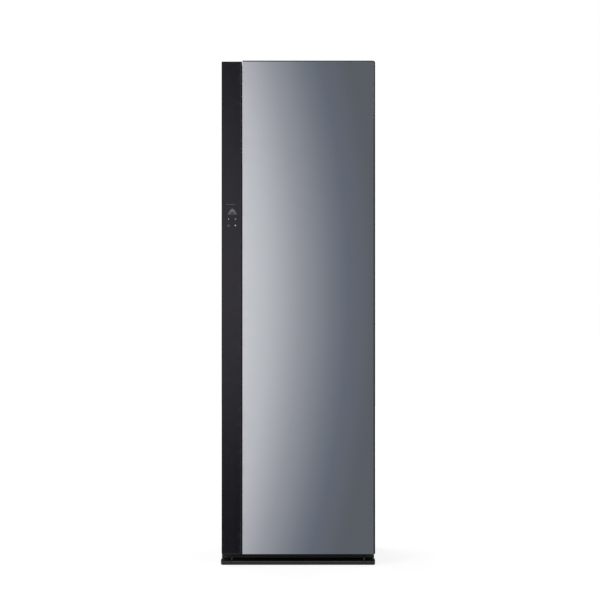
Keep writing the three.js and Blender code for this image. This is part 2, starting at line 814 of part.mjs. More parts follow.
// Extruded rail at the free edge. Fingers pull in the groove behind its front lip.
function handleRail() {
  const [x0, x1] = [doorLeftX, doorLeftX + railWidth];
  const [y0, y1] = [glassBackY + clearance, panelFrontY - clearance];
  const grooveY = y0 + gripLip;
  const body = prism(rectangle(x0, x1, y0, y1), 'z', doorBottomZ + capPlate + clearance,
    doorTopZ - glassTopTrim);
  const groove = prism(rectangle(x0 - overrun - gripRadius, x0 + gripDepth, grooveY,
    grooveY + gripOpening, [0, gripRadius, gripRadius, 0]), 'z', doorBottomZ - overrun, doorTopZ + overrun);
  const hollow = block(x0 + capWall, x1 - capWall, grooveY + gripOpening + capWall, y1 - capWall,
    doorBottomZ - overrun, doorTopZ + overrun);
  return cut(body, groove, hollow);
}

// Trim down the hinge side, with a lip beside the glass and a rounded outer edge.
function sideTrim() {
  const lipX = right - glassSideTrim + clearance;
  const [z0, z1] = [doorBottomZ + capPlate + clearance, doorTopZ - glassTopTrim];
  return cut(
    prism(rectangle(lipX, right, front, panelFrontY - clearance, [0, trimCorner, 0, 0]), 'z', z0, z1)
      .intersect(prism(doorOutline(), 'y', front, doorBackY)),
    block(lipX - overrun, right - trimWall, glassBackY + clearance + capWall, panelFrontY,
      z0 - overrun, z1 + overrun),
    hingePocket(),
  );
}

// End cap: outer plate, a skirt that plugs into the door and a block with the hinge pin's bore.
// `end` is +1 at the top and -1 at the bottom. All heights run inwards from the door's end.
function endCap(end) {
  const outer = end > 0 ? doorTopZ : doorBottomZ;
  const heights = (a, b) => (end > 0 ? [outer - b, outer - a] : [outer + a, outer + b]);
  const [frontY, backY] = [end > 0 ? front : glassBackY + clearance, panelFrontY - clearance];
  const [skirtX0, skirtX1] = [doorLeftX + railWidth + clearance, right - glassSideTrim - 2 * clearance];
  const [skirtY0, skirtY1] = [glassBackY + 2 * clearance, backY - clearance];
  const plate = prism(doorOutline(), 'y', frontY, backY)
    .intersect(block(doorLeftX, right, frontY, backY, ...heights(0, capPlate)));
  const skirt = cut(
    block(skirtX0, skirtX1, skirtY0, skirtY1, ...heights(capPlate / 2, capPlate + capSkirt)),
    block(skirtX0 + capWall, skirtX1 - capWall, skirtY0 + capWall, skirtY1 - capWall,
      ...heights(capPlate, capPlate + capSkirt + overrun)),
  );
  const boss = block(hingeX - 2 * hingeArmRadius, skirtX1, hingeY - 2 * hingeArmRadius, skirtY1,
    ...heights(capPlate / 2, capPlate + capSkirt));
  const bore = rod(hingePinRadius + hingePinPlay, 'z',
    ...heights(-overrun, capPlate + capSkirt + overrun), [hingeX, hingeY, 0], shaftSegments);
  const cap = cut(join(plate, skirt, boss), bore);
  return end > 0 ? cut(cap, hingePocket()) : cap;
}

const mouldingX0 = chamberX0 + mouldingMargin;
const mouldingX1 = chamberX1 - mouldingMargin;
const mouldingY = doorBackY + mouldingRise;

// Moulded inner panel: its middle is pressed out into the chamber's mouth.
function innerPanel() {
  const [z0, z1] = [chamberZ0 + mouldingMargin, chamberZ1 - mouldingMargin];
  const raised = prism(rectangle(mouldingX0, mouldingX1, z0, z1, mouldingRadius),
    'y', panelFrontY, mouldingY);
  const hollow = prism(rectangle(mouldingX0 + innerPanelWall, mouldingX1 - innerPanelWall,
    z0 + innerPanelWall, z1 - innerPanelWall, mouldingRadius - innerPanelWall),
  'y', panelFrontY - overrun, mouldingY - innerPanelWall);
  const sheet = prism(doorOutline(), 'y', panelFrontY, doorBackY);
  return cut(join(sheet, raised), hollow, hingePocket());
}

// Foam board that fills the door between its glass and its inner panel.
function doorCore() {
  const skirtEnd = capPlate + capSkirt + clearance;
  return block(doorLeftX + railWidth + clearance, right - trimWall - clearance,
    glassBackY + 2 * clearance + capWall, panelFrontY - 2 * clearance,
    doorBottomZ + skirtEnd, doorTopZ - skirtEnd);
}

// Magnetic seal: a flat foot with a narrower lip, run round the door's back.
function doorSeal() {
  const [x0, x1] = [doorLeftX + sealSideInset, right - sealHingeInset];
  const [z0, z1] = [doorBottomZ + sealBottomInset, bodyTopZ - sealTopInset];
  const [y0, y1] = [doorBackY + clearance, bodyFrontY - clearance];
  const ring = (edge, width, from, to) => cut(
    prism(rectangle(x0 + edge, x1 - edge, z0 + edge, z1 - edge, sealWidth / 2), 'y', from, to),
    prism(rectangle(x0 + edge + width, x1 - edge - width, z0 + edge + width, z1 - edge - width,
      sealWidth / 4), 'y', from - overrun, to + overrun),
  );
  const middle = (y0 + y1) / 2;
  return join(
    ring(0, sealWidth, y0, middle),
    ring((sealWidth - 2 * sealBulb) / 2, 2 * sealBulb, middle - clearance, y1),
  );
}

// Upper hinge: a plate on the body's top reaches over the door, and its pin points down.
function hingeUpper() {
  const z0 = bodyTopZ + clearance;
  const arm = rectangle(hingeX - hingeArmRadius, hingeX + hingeArmRadius,
    hingeY - hingeArmRadius, bodyFrontY + hingeReach, [hingeArmRadius, hingeArmRadius, 0, 0]);
  const foot = rectangle(bodyRightX - hingeFootWidth, bodyRightX - hingeCoverWall - hingeCoverPlay,
    frameBackY + hingeCoverWall + hingeCoverPlay, bodyFrontY + hingeReach);
  return join(
    prism(arm, 'z', z0, z0 + hingePlate),
    prism(foot, 'z', z0, z0 + hingePlate),
    rod(hingePinRadius, 'z', z0 - hingePinLength, z0 + hingePlate / 2, [hingeX, hingeY, 0],
      shaftSegments),
  );
}

// Cap that hides the upper plate's screws.
function hingeCover() {
  const [z0, z1] = [bodyTopZ + clearance, bodyTopZ + clearance + hingeCoverHeight];
  const [x0, x1] = [bodyRightX - hingeFootWidth - hingeCoverWall - hingeCoverPlay, bodyRightX];
  const [y0, y1] = [frameBackY, bodyFrontY + hingeReach + hingeCoverWall + hingeCoverPlay];
  const armX = hingeX - hingeArmRadius - hingeCoverPlay;
  return cut(
    prism(rectangle(x0, x1, y0, y1, hingeCoverHeight / 2), 'z', z0, z1),
    block(x0 + hingeCoverWall, x1 - hingeCoverWall, y0 + hingeCoverWall, y1 - hingeCoverWall,
      z0 - overrun, z1 - hingeCoverWall),
    block(armX, hingeX + hingeArmRadius + hingeCoverPlay, y0 - overrun, y1 - 2 * hingeCoverWall,
      z0 - overrun, z0 + hingePlate + hingeCoverPlay),
  );
}

// Lower hinge: an angle on the body's front, and its pin points up into the door.
function hingeLower() {
  const top = doorBottomZ - hingeDoorDrop;
  const back = bodyFrontY - clearance;
  const arm = rectangle(hingeX - hingeArmRadius, hingeX + hingeArmRadius, hingeY - hingeArmRadius,
    back, [hingeArmRadius, hingeArmRadius, 0, 0]);
  return join(
    prism(arm, 'z', top - hingePlate, top),
    block(bodyRightX - hingeFootWidth, bodyRightX, back - hingePlate, back,
      top - hingePlate - hingeFlangeDrop, top),
    turned([[0, top - hingePlate / 2], [hingePinRadius * 2, top - hingePlate / 2],
      [hingePinRadius * 2, doorBottomZ - clearance], [hingePinRadius, doorBottomZ - clearance],
      [hingePinRadius, doorBottomZ + hingePinLength], [0, doorBottomZ + hingePinLength]],
    'z', [hingeX, hingeY, 0], shaftSegments),
  );
}

// Trouser press on the door's inner panel.

const pressX0 = mouldingX0 + pressMargin;
const pressX1 = mouldingX1 - pressMargin;
const pressZ0 = pressBottomHeight;
const pressZ1 = pressBottomHeight + pressHeight;
const pressBaseY = mouldingY + clearance;
const pressPlateY = pressBaseY + pressBase + pressGap;
const pressAxisX = pressX1 + pressAxisInset;
const pressAxisY = pressPlateY + pressPlate / 2;

// Fixed half of the press: a plate, two hinge ears and the rail that trouser hems hang from.
function pressBoard() {
  const plate = prism(rectangle(pressX0, pressX1 + 2 * pressAxisInset, pressZ0,
    pressZ1 + 3 * clipRailHeight, pressRadius), 'y', pressBaseY, pressBaseY + pressBase);
  const ears = [pressZ0, pressZ1 - pressEar].map((z) => prism(rectangle(pressAxisX - pressBarrelRadius,
    pressAxisX + pressBarrelRadius, pressBaseY + pressBase / 2, pressAxisY + pressBarrelRadius,
    [0, 0, pressBarrelRadius, pressBarrelRadius]), 'z', z, z + pressEar));
  const railZ = pressZ1 + clipRailHeight;
  const railY = pressBaseY + pressBase / 2;
  const rail = new THREE.Shape([
    new THREE.Vector2(railY, railZ),
    new THREE.Vector2(railY + clipRailDepth, railZ),
    new THREE.Vector2(railY + clipRailDepth, railZ + clipRailHeight + clipRailLip),
    new THREE.Vector2(railY + clipRailDepth - clipRailLip, railZ + clipRailHeight + clipRailLip),
    new THREE.Vector2(railY + clipRailDepth - clipRailLip, railZ + clipRailLip),
    new THREE.Vector2(railY, railZ + clipRailHeight),
  ]);
  const holes = [pressZ0 - overrun, pressZ1 - pressEar - overrun].map((z) => rod(
    pressPinRadius + pressPinPlay, 'z', z, z + pressEar + 2 * overrun, [pressAxisX, pressAxisY, 0],
    shaftSegments));
  return cut(
    join(plate, ...ears, prism(rail, 'x', pressX0 + pressRadius, pressX1 - pressRadius)),
    ...holes,
  );
}

// Swinging half of the press: a slotted plate that steam passes through, with a grip and two pins.
function pressLeaf() {
  const [z0, z1] = [pressZ0 + pressEar + clearance * 2, pressZ1 - pressEar - clearance * 2];
  const y1 = pressPlateY + pressPlate;
  const plate = prism(rectangle(pressX0, pressAxisX, z0, z1, [pressRadius, 0, 0, pressRadius]),
    'y', pressPlateY, y1);
  const rows = openings(z0 + pressSlotMargin, z1 - pressSlotMargin, pressSlotRows,
    (z1 - z0 - 2 * pressSlotMargin - pressSlotRows * pressSlotHeight) / (pressSlotRows + 1));
  const columns = openings(pressX0 + pressSlotMargin - pressRib, pressX1 - pressSlotMargin + pressRib,
    2, pressRib);
  const slots = rows.flatMap(([a, b]) => columns.map(([u, v]) => block(u, v,
    pressPlateY - overrun, y1 + overrun, a, b)));
  const middle = (z0 + z1) / 2;
  const grip = prism(rectangle(pressX0 - overrun, pressX0 + pressGripWidth, middle - pressGripHeight / 2,
    middle + pressGripHeight / 2, [0, pressGripDepth, pressGripDepth, 0]),
  'y', y1 - pressGripDepth, y1 + overrun);
  return join(
    cut(plate, ...slots, grip),
    rod(pressBarrelRadius, 'z', z0, z1, [pressAxisX, pressAxisY, 0], shaftSegments),
    rod(pressPinRadius, 'z', z0 - pressPinLength, z1 + pressPinLength, [pressAxisX, pressAxisY, 0],
      shaftSegments),
  );
}

// Garment chamber.

// A slot through the chamber's ceiling for one moving stem.
function stemSlot(side, z0, z1) {
  const half = stemThickness / 2 + hangerTravel + stemPlay;
  const x = chamberX + side * stemSpacing;
  return block(x - half, x + half, barY - stemDepth / 2 - stemPlay, barY + stemDepth / 2 + stemPlay,
    z0, z1);
}

const outletX0 = chamberX0 + outletSideInset;
const outletX1 = nozzleX - nozzleRadius - outletNozzleGap;
const outletZ0 = chamberZ0 + outletLift;
const outletZ1 = outletZ0 + outletHeight;
const lampX0 = chamberX - lampWidth / 2;
const lampX1 = chamberX + lampWidth / 2;
const lampY0 = bodyFrontY + lampFrontInset;
const lampY1 = lampY0 + lampDepth;

// The chamber's moulded liner, open to the front.
function innerLiner() {
  const [y0, y1] = [frameBackY + clearance, linerBackY];
  const outer = prism(rectangle(chamberX0 - linerWall, chamberX1 + linerWall, linerBottomZ, linerTopZ,
    chamberRadius + linerWall), 'y', y0, y1);
  const inner = prism(rectangle(chamberX0, chamberX1, chamberZ0, chamberZ1, chamberRadius), 'y',
    y0 - overrun, chamberBackY);
  const ledgeZ = chamberZ0 + ledgeLift;
  const ledges = [[chamberX0 - linerWall / 2, chamberX0 + ledgeWidth],
    [chamberX1 - ledgeWidth, chamberX1 + linerWall / 2]].map(([a, b]) => block(a, b,
    bodyFrontY + ledgeFrontInset, chamberBackY - ledgeRearInset, ledgeZ - ledgeHeight, ledgeZ));
  const filterMouth = block(chamberX - filterWidth / 2, chamberX + filterWidth / 2,
    filterFrontY, filterBackY, linerBottomZ - overrun, chamberZ0 + overrun);
  const caseMouth = block(caseX - caseWidth / 2, caseX + caseWidth / 2, filterFrontY, filterBackY,
    linerBottomZ - overrun, chamberZ0 + overrun);
  const outletMouth = block(outletX0, outletX1, chamberBackY - overrun, linerBackY + overrun,
    outletZ0, outletZ1);
  const lampMouth = block(lampX0, lampX1, lampY0, lampY1, chamberZ1 - overrun, linerTopZ + overrun);
  return cut(
    join(cut(outer, inner), ...ledges),
    filterMouth, caseMouth, outletMouth, lampMouth,
    rod(nozzleNeckRadius + clearance, 'y', chamberBackY - overrun, linerBackY + overrun,
      [nozzleX, 0, nozzleZ], shaftSegments),
    ...[-1, 1].map((side) => stemSlot(side, chamberZ1 - overrun, linerTopZ + overrun)),
  );
}

// Lamp in the ceiling, behind the door.
function chamberLamp() {
  return join(
    prism(rectangle(lampX0 - lampLens, lampX1 + lampLens, lampY0 - lampLens, lampY1 + lampLens,
      lampLens), 'z', chamberZ1 - lampLens - clearance, chamberZ1 - clearance),
    block(lampX0 + clearance, lampX1 - clearance, lampY0 + clearance, lampY1 - clearance,
      chamberZ1 - lampLens, linerTopZ + lampLens),
  );
}

// Air outlet in the back wall, its vanes slanted down into the chamber.
function airOutlet() {
  const rimY = chamberBackY - clearance;
  const opening = openings(outletZ0, outletZ1, outletVaneCount + 1, outletVane);
  const rim = prism(rectangle(outletX0 - outletRim, outletX1 + outletRim, outletZ0 - outletRim,
    outletZ1 + outletRim, outletRim), 'y', rimY - outletRimThickness, rimY);
  const neck = block(outletX0 + clearance, outletX1 - clearance, rimY - clearance,
    linerBackY, outletZ0 + clearance, outletZ1 - clearance);
  const slits = opening.map(([a, b]) => prism(new THREE.Shape([
    new THREE.Vector2(rimY - outletRimThickness - overrun, a - outletSlant),
    new THREE.Vector2(linerBackY + overrun, a + outletSlant),
    new THREE.Vector2(linerBackY + overrun, b + outletSlant),
    new THREE.Vector2(rimY - outletRimThickness - overrun, b - outletSlant),
  ]), 'x', outletX0 + outletRim, outletX1 - outletRim));
  return cut(join(rim, neck), ...slits);
}

// Steam nozzle: a rosette on a neck that the hose joins behind the liner.
function steamNozzle() {
  const y1 = chamberBackY - clearance;
  const neckEnd = linerBackY + nozzleNeckLength;
  const body = turned([
    [0, y1 - nozzleFlange], [nozzleRadius - nozzleFlange / 2, y1 - nozzleFlange],
    [nozzleRadius, y1 - nozzleFlange / 2], [nozzleRadius, y1], [nozzleNeckRadius, y1],
    [nozzleNeckRadius, neckEnd], [nozzleBore, neckEnd], [nozzleBore, y1], [0, y1],
  ], 'y', [nozzleX, 0, nozzleZ], shaftSegments);
  const holes = Array.from({ length: nozzleHoleCount }, (_, i) => {
    const turn = i * 2 * Math.PI / nozzleHoleCount;
    return rod(nozzleHoleRadius, 'y', y1 - nozzleFlange - overrun, y1 - nozzleFlange / 3, [
      nozzleX + nozzleHoleCircle * Math.cos(turn), 0, nozzleZ + nozzleHoleCircle * Math.sin(turn),
    ], nozzleHoleCount);
  });
  return cut(body, ...holes);
}

const shelfZ0 = chamberZ0 + ledgeLift + clearance;

// Lift-out shelf on the liner's ledges.
function shelf() {
  const [x0, x1] = [chamberX0 + shelfSideGap, chamberX1 - shelfSideGap];
  const [y0, y1] = [bodyFrontY + ledgeFrontInset, chamberBackY - ledgeRearInset];
  const slots = openings(x0 + shelfRim, x1 - shelfRim, shelfSlotCount, shelfBar);
  return cut(
    prism(rectangle(x0, x1, y0, y1, shelfRadius), 'z', shelfZ0, shelfZ0 + shelfThickness),
    ...slots.flatMap(([a, b]) => openings(y0 + shelfRim / 2, y1 - shelfRim / 2, 2, shelfRim / 2)
      .map(([c, d]) => block(a, b, c, d, shelfZ0 - overrun, shelfZ0 + shelfThickness + overrun))),
  );
}

// Moving hanger.

// Guide on the liner's top: the beam slides between its walls and the stem passes its floor.
function guideRail(side) {
  const x = chamberX + side * stemSpacing;
  const [x0, x1] = [x - guideLength / 2, x + guideLength / 2];
  const half = beamDepth / 2 + guidePlay;
  const z0 = linerTopZ + clearance;
  return cut(
    block(x0, x1, barY - half - guideWall, barY + half + guideWall, z0, beamTopZ),
    block(x0 - overrun, x1 + overrun, barY - half, barY + half, guideTopZ, beamTopZ + overrun),
    stemSlot(side, z0 - overrun, guideTopZ + overrun),
  );
}

// Beam that slides in the guides, with the yoke that the crank's pin drives.
function sliderBeam() {
  const half = stemSpacing + beamOverhang;
  const slotX = crankPinRadius + crankPinPlay;
  const slotY = hangerTravel + crankPinRadius + crankPinPlay;
  return cut(
    join(
      block(chamberX - half, chamberX + half, barY - beamDepth / 2, barY + beamDepth / 2,
        beamBottomZ, beamTopZ),
      prism(rectangle(chamberX - yokeWidth / 2, chamberX + yokeWidth / 2, barY - yokeDepth / 2,
        barY + yokeDepth / 2, crankPinRadius * 2), 'z', beamBottomZ, beamTopZ),
    ),
    prism(rectangle(chamberX - slotX, chamberX + slotX, barY - slotY, barY + slotY,
      slotX - clearance), 'z', beamBottomZ - overrun, beamTopZ + overrun),
  );
}

// Bar with a groove for each hanger, hung from the beam by two stems.
function hangerBar() {
  const half = stemSpacing + barOverhang;
  const profile = [[0, -half], [barRadius - edgeBevel, -half], [barRadius, edgeBevel - half]];
  for (let i = 0; i < grooveCount; i += 1) {
    const middle = (i - (grooveCount - 1) / 2) * groovePitch;
    profile.push(
      [barRadius, middle - grooveWidth / 2], [barRadius - grooveDepth, middle - grooveWidth / 2],
      [barRadius - grooveDepth, middle + grooveWidth / 2], [barRadius, middle + grooveWidth / 2],
    );
  }
  profile.push([barRadius, half - edgeBevel], [barRadius - edgeBevel, half], [0, half]);
  const bar = turned(profile, 'x', [chamberX, barY, barZ], shaftSegments);
  const stems = [-1, 1].flatMap((side) => {
    const x = chamberX + side * stemSpacing;
    return [
      block(x - stemThickness / 2, x + stemThickness / 2, barY - stemDepth / 2, barY + stemDepth / 2,
        barZ, beamBottomZ - clearance),
      prism(rectangle(barY - stemShoe, barY + stemShoe, barZ - stemShoe, barZ + stemShoe, stemShoe / 2),
        'x', x - stemThickness / 2, x + stemThickness / 2),
    ];
  });
  return join(bar, ...stems);
}

// Crank disc with its shaft, and the pin that reaches down to the yoke.
function crank() {
  const disc = turned([
    [0, crankBottomZ], [crankRadius, crankBottomZ], [crankRadius, crankBottomZ + crankThickness],
    [crankHub, crankBottomZ + crankThickness],
    [crankShaftRadius, crankBottomZ + crankThickness + clearance],
    [crankShaftRadius, crankBottomZ + crankThickness + crankShaftLength],
    [0, crankBottomZ + crankThickness + crankShaftLength],
  ], 'z', [chamberX, barY, 0]);
  return join(disc, rod(crankPinRadius, 'z', crankBottomZ - crankPinLength,
    crankBottomZ + crankThickness / 2, [chamberX, barY + hangerTravel, 0], shaftSegments));
}

// Bridge over the yoke, which carries the motor.
function motorBridge() {
  const z0 = linerTopZ + clearance;
  const [x0, x1] = [chamberX - bridgeWidth / 2, chamberX + bridgeWidth / 2];
  const [y0, y1] = [barY - bridgeDepth / 2, barY + bridgeDepth / 2];
  return cut(
    block(x0, x1, y0, y1, z0, bridgeTopZ),
    block(x0 - overrun, x1 + overrun, y0 + bridgeThickness, y1 - bridgeThickness,
      z0 - overrun, bridgeTopZ - bridgeThickness),
    rod(bridgeHoleRadius, 'z', z0, bridgeTopZ + overrun, [chamberX, barY, 0], shaftSegments),
  );
}

function driveMotor() {
  const z0 = bridgeTopZ + clearance;
  const bore = crankShaftRadius + clearance;
  const boreTop = crankBottomZ + crankThickness + crankShaftLength + clearance;
  return turned([
    [bore, z0], [motorFlangeRadius, z0], [motorFlangeRadius, z0 + motorFlange],
    [motorRadius, z0 + motorFlange], [motorRadius, z0 + motorHeight - edgeBevel],
    [motorRadius - edgeBevel, z0 + motorHeight], [0, z0 + motorHeight], [0, boreTop], [bore, boreTop],
    [bore, z0],
  ], 'z', [chamberX, barY, 0]);
}

// A garment hanger, drawn round its hook's middle: y along the shoulders, z up.
function garmentHanger() {
  const half = chamberDepth / 2 - hangerEndRoom;
  const hookRadius = barRadius - grooveDepth + hangerHookPlay + hangerWire;
  const neckZ = -hookRadius - hangerStem;
  const tipZ = neckZ - hangerDrop;
  const [bendY, bendZ] = [half * hangerBendShares[0], neckZ - hangerDrop * hangerBendShares[1]];
  // Neck, sloping shoulders, rounded ends and the trouser bar's underside.
  const outline = new THREE.Shape();
  outline.moveTo(-hangerNeck / 2, neckZ);
  outline.quadraticCurveTo(-bendY, bendZ, -half, tipZ);
  outline.quadraticCurveTo(-half, tipZ - hangerTip, hangerTip - half, tipZ - hangerTip);
  outline.lineTo(half - hangerTip, tipZ - hangerTip);
  outline.quadraticCurveTo(half, tipZ - hangerTip, half, tipZ);
  outline.quadraticCurveTo(bendY, bendZ, hangerNeck / 2, neckZ);
  outline.closePath();
  // The opening between the shoulders and the bar.
  const barTopZ = tipZ - hangerTip + hangerBarHeight;
  const gap = new THREE.Path();
  gap.moveTo(0, neckZ - hangerArm);
  gap.quadraticCurveTo(-bendY, bendZ - hangerArm, hangerGapInset - half, barTopZ);
  gap.lineTo(half - hangerGapInset, barTopZ);
  gap.quadraticCurveTo(bendY, bendZ - hangerArm, 0, neckZ - hangerArm);
  outline.holes.push(gap);
  const body = prism(outline, 'x', -hangerThickness / 2, hangerThickness / 2, hangerSegments);
  // The hook runs from the front over the bar and round its back to the stem.
  const bends = Array.from({ length: hookSteps + 1 }, (_, i) => {
    const turn = hookStartTurn - (hookStartTurn + Math.PI / 2) * i / hookSteps;
    return new THREE.Vector3(0, hookRadius * Math.cos(turn), hookRadius * Math.sin(turn));
  });
  const wire = new THREE.Shape().absarc(0, 0, hangerWire, 0, 2 * Math.PI);
  const hook = solid(new THREE.ExtrudeGeometry(wire, {
    steps: hookSteps, curveSegments: hookSegments, extrudePath: new THREE.CatmullRomCurve3(bends),
    bevelEnabled: false,
  }));
  const stem = rod(hangerWire, 'z', neckZ - hangerTip, -hookRadius, [0, 0, 0], shaftSegments / 2);
  const collar = turned([[0, neckZ - hangerTip], [hangerNeck / 2, neckZ - hangerTip],
    [hangerNeck / 2, neckZ], [hangerWire * 2, neckZ + hangerTip / 2], [0, neckZ + hangerTip / 2]],
  'z', [0, 0, 0], shaftSegments);
  return join(body, hook, stem, collar);
}

// Pieces in the chamber's floor.

// Lint filter: a cassette with a mesh in both faces, a rim on the floor and a handle on top.
function lintFilter() {
  const [x0, x1] = [chamberX - filterWidth / 2 + filterPlay, chamberX + filterWidth / 2 - filterPlay];
  const [y0, y1] = [filterFrontY + filterPlay, filterBackY - filterPlay];
  const [z0, z1] = [chamberZ0 - filterHeight, chamberZ0 + clearance];
  const cassette = cut(
    block(x0, x1, y0, y1, z0, z1 + filterRimThickness / 2),
    block(x0 + filterWall, x1 - filterWall, y0 + filterWall, y1 - filterWall, z0 + filterWall,
      z1 + filterRimThickness + overrun),
  );
  const rim = cut(
    prism(rectangle(x0 - filterRim, x1 + filterRim, y0 - filterRim, y1 + filterRim, filterRim),
      'z', z1, z1 + filterRimThickness),
    block(x0 + filterWall, x1 - filterWall, y0 + filterWall, y1 - filterWall,
      z1 - overrun, z1 + filterRimThickness + overrun),
  );
  const windows = openings(x0 + filterWall, x1 - filterWall, filterColumns, filterBar).flatMap(
    ([a, b]) => openings(z0 + filterWall, z1 - filterWall, filterRows, filterBar).map(
      ([c, d]) => block(a, b, y0 - overrun, y1 + overrun, c, d)));
  const handle = new THREE.Shape();
  const [h0, h1] = [chamberX - filterHandleWidth / 2, chamberX + filterHandleWidth / 2];
  const top = z1 + filterRimThickness + filterHandleHeight;
  handle.moveTo(h0, z1);
  handle.quadraticCurveTo(h0, top, chamberX, top);
  handle.quadraticCurveTo(h1, top, h1, z1);
  const grip = new THREE.Path();
  grip.moveTo(h0 + filterHandleThickness, z1);
  grip.quadraticCurveTo(h0 + filterHandleThickness, top - filterHandleThickness,
    chamberX, top - filterHandleThickness);
  grip.quadraticCurveTo(h1 - filterHandleThickness, top - filterHandleThickness,
    h1 - filterHandleThickness, z1);
  const middle = (y0 + y1) / 2;
  const bridge = block(h0 - filterHandleThickness, h1 + filterHandleThickness,
    y0, y1, z1, z1 + filterRimThickness);
  const arch = cut(
    prism(handle, 'y', middle - filterHandleThickness / 2, middle + filterHandleThickness / 2,
      handleSegments),
    prism(new THREE.Shape(grip.getPoints(handleSegments)), 'y', middle - filterHandleThickness,
      middle + filterHandleThickness),
  );
  return join(cut(join(cassette, rim), ...windows), bridge, arch);
}

// Case for a scented sheet, with slits in its top and a knob to lift it by.
function scentCase() {
  const [x0, x1] = [caseX - caseWidth / 2 + filterPlay, caseX + caseWidth / 2 - filterPlay];
  const [y0, y1] = [filterFrontY + filterPlay, filterBackY - filterPlay];
  const z1 = chamberZ0 + clearance;
  const body = join(
    block(x0, x1, y0, y1, chamberZ0 - caseHeight, z1 + filterRimThickness / 2),
    prism(rectangle(x0 - filterRim, x1 + filterRim, y0 - filterRim, y1 + filterRim, filterRim),
      'z', z1, z1 + filterRimThickness),
    prism(rectangle(caseX - caseKnob / 2, caseX + caseKnob / 2, y0 + filterRim, y1 - filterRim,
      caseKnob / 4), 'z', z1, z1 + filterRimThickness + caseKnob),
  );
  const slits = [[x0, caseX - caseKnob / 2], [caseX + caseKnob / 2, x1]].flatMap(
    ([a, b]) => openings(y0, y1, caseSlotCount, caseSlot).map(([c, d]) => block(
      a + filterWall, b - filterWall, c, d, chamberZ0 - caseHeight + filterWall, z1 + 2 * overrun)));
  return cut(body, ...slits);
}

// Fascia with a moulded pocket for each tank.
function fascia() {
  const top = chamberZ0 - fasciaTopGap;
  const plate = block(chamberX0 + clearance, chamberX1 - clearance, fasciaFrontY,
    fasciaFrontY + fasciaThickness, fasciaBottomHeight + clearance, top - clearance);
  const tankTopZ = tankBottomHeight + tankHeight + clearance + lidThickness + lidCapHeight;
  const shape = (x, grow) => rectangle(x - tankWidth / 2 - tankPlay - grow,
    x + tankWidth / 2 + tankPlay + grow, tankBottomHeight - clearance - grow, tankTopZ + tankPlay + grow);
  const back = tankFrontY + tankDepth + tankPlay;
  const pockets = tankX.map((x) => prism(shape(x, tankPocketWall), 'y', fasciaFrontY,
    back + tankPocketWall));
  const rooms = tankX.map((x) => prism(shape(x, 0), 'y', fasciaFrontY - overrun, back));
  return cut(join(plate, ...pockets), ...rooms);
}

// A tank drawn about its own middle, with its front face at y = 0 and its underside at z = 0.
function tank() {
  const half = tankWidth / 2;
  const radii = [tankRadius / 2, tankRadius / 2, tankRadius, tankRadius];
  const gripZ1 = tankHeight - tankGripDrop;
  const gripZ0 = gripZ1 - tankGripHeight;
  const gripHalf = half - tankGripInset;
  const grip = (grow, y0, y1) => prism(rectangle(-gripHalf - grow, gripHalf + grow, gripZ0 - grow,
    gripZ1 + grow, tankGripRadius), 'y', y0, y1);
  return cut(
    join(
      cut(
        prism(rectangle(-half, half, 0, tankDepth, radii), 'z', 0, tankHeight),
        prism(rectangle(tankWall - half, half - tankWall, tankWall, tankDepth - tankWall,
          radii.map((r) => r - tankWall)), 'z', tankWall, tankHeight + overrun),
      ),
      grip(tankWall, tankWall / 2, tankGripDepth + tankWall),
    ),
    grip(0, -overrun, tankGripDepth),
  );
}

// Lid that snaps on a tank, with a rim inside its walls and a round fill cap.
function tankLid() {
  const half = tankWidth / 2;
  const inner = tankWall + clearance;
  const rimWall = tankWall / 2;
  const z0 = tankHeight + clearance;
  const rimInset = tankGripDepth + 2 * tankWall;
  return join(
    prism(rectangle(-half, half, 0, tankDepth, tankRadius), 'z', z0, z0 + lidThickness),
    cut(
      block(inner + tankRadius / 2 - half, half - inner - tankRadius / 2, rimInset, tankDepth - inner
        - tankRadius / 4, z0 - lidRim, z0 + lidThickness / 2),
      block(inner + tankRadius / 2 - half + rimWall, half - inner - tankRadius / 2 - rimWall,
        rimInset + rimWall, tankDepth - inner - tankRadius / 4 - rimWall, z0 - lidRim - overrun, z0),
    ),
    turned([
      [0, z0], [lidCapRadius, z0], [lidCapRadius, z0 + lidThickness + lidCapHeight - edgeBevel],
      [lidCapRadius - edgeBevel, z0 + lidThickness + lidCapHeight], [0, z0 + lidThickness + lidCapHeight],
    ], 'z', [0, lidCapForward, 0]),
  );
}

// Machine compartment.

function compressor() {
  const z0 = machineFloorZ + compressorFoot;
  const top = z0 + compressorHeight;
  const dome = compressorDomeShares.map(([r, h]) => [compressorRadius * r, compressorDome * h]);
  const can = turned([
    [0, z0], ...dome.map(([r, h]) => [r, z0 + h]),
    ...dome.toReversed().map(([r, h]) => [r, top - h]), [0, top],
  ], 'z', [compressorX, compressorY, 0]);
  const plate = block(compressorX - compressorRadius, compressorX + compressorRadius,
    compressorY - compressorRadius / 2, compressorY + compressorRadius / 2,
    machineFloorZ, z0 + compressorFoot / 2);
  const port = rod(coilTubeRadius, 'z', top - compressorDome, top + compressorDome / 2,
    [compressorX + compressorRadius / 2, compressorY, 0], shaftSegments);
  return join(can, plate, port);
}

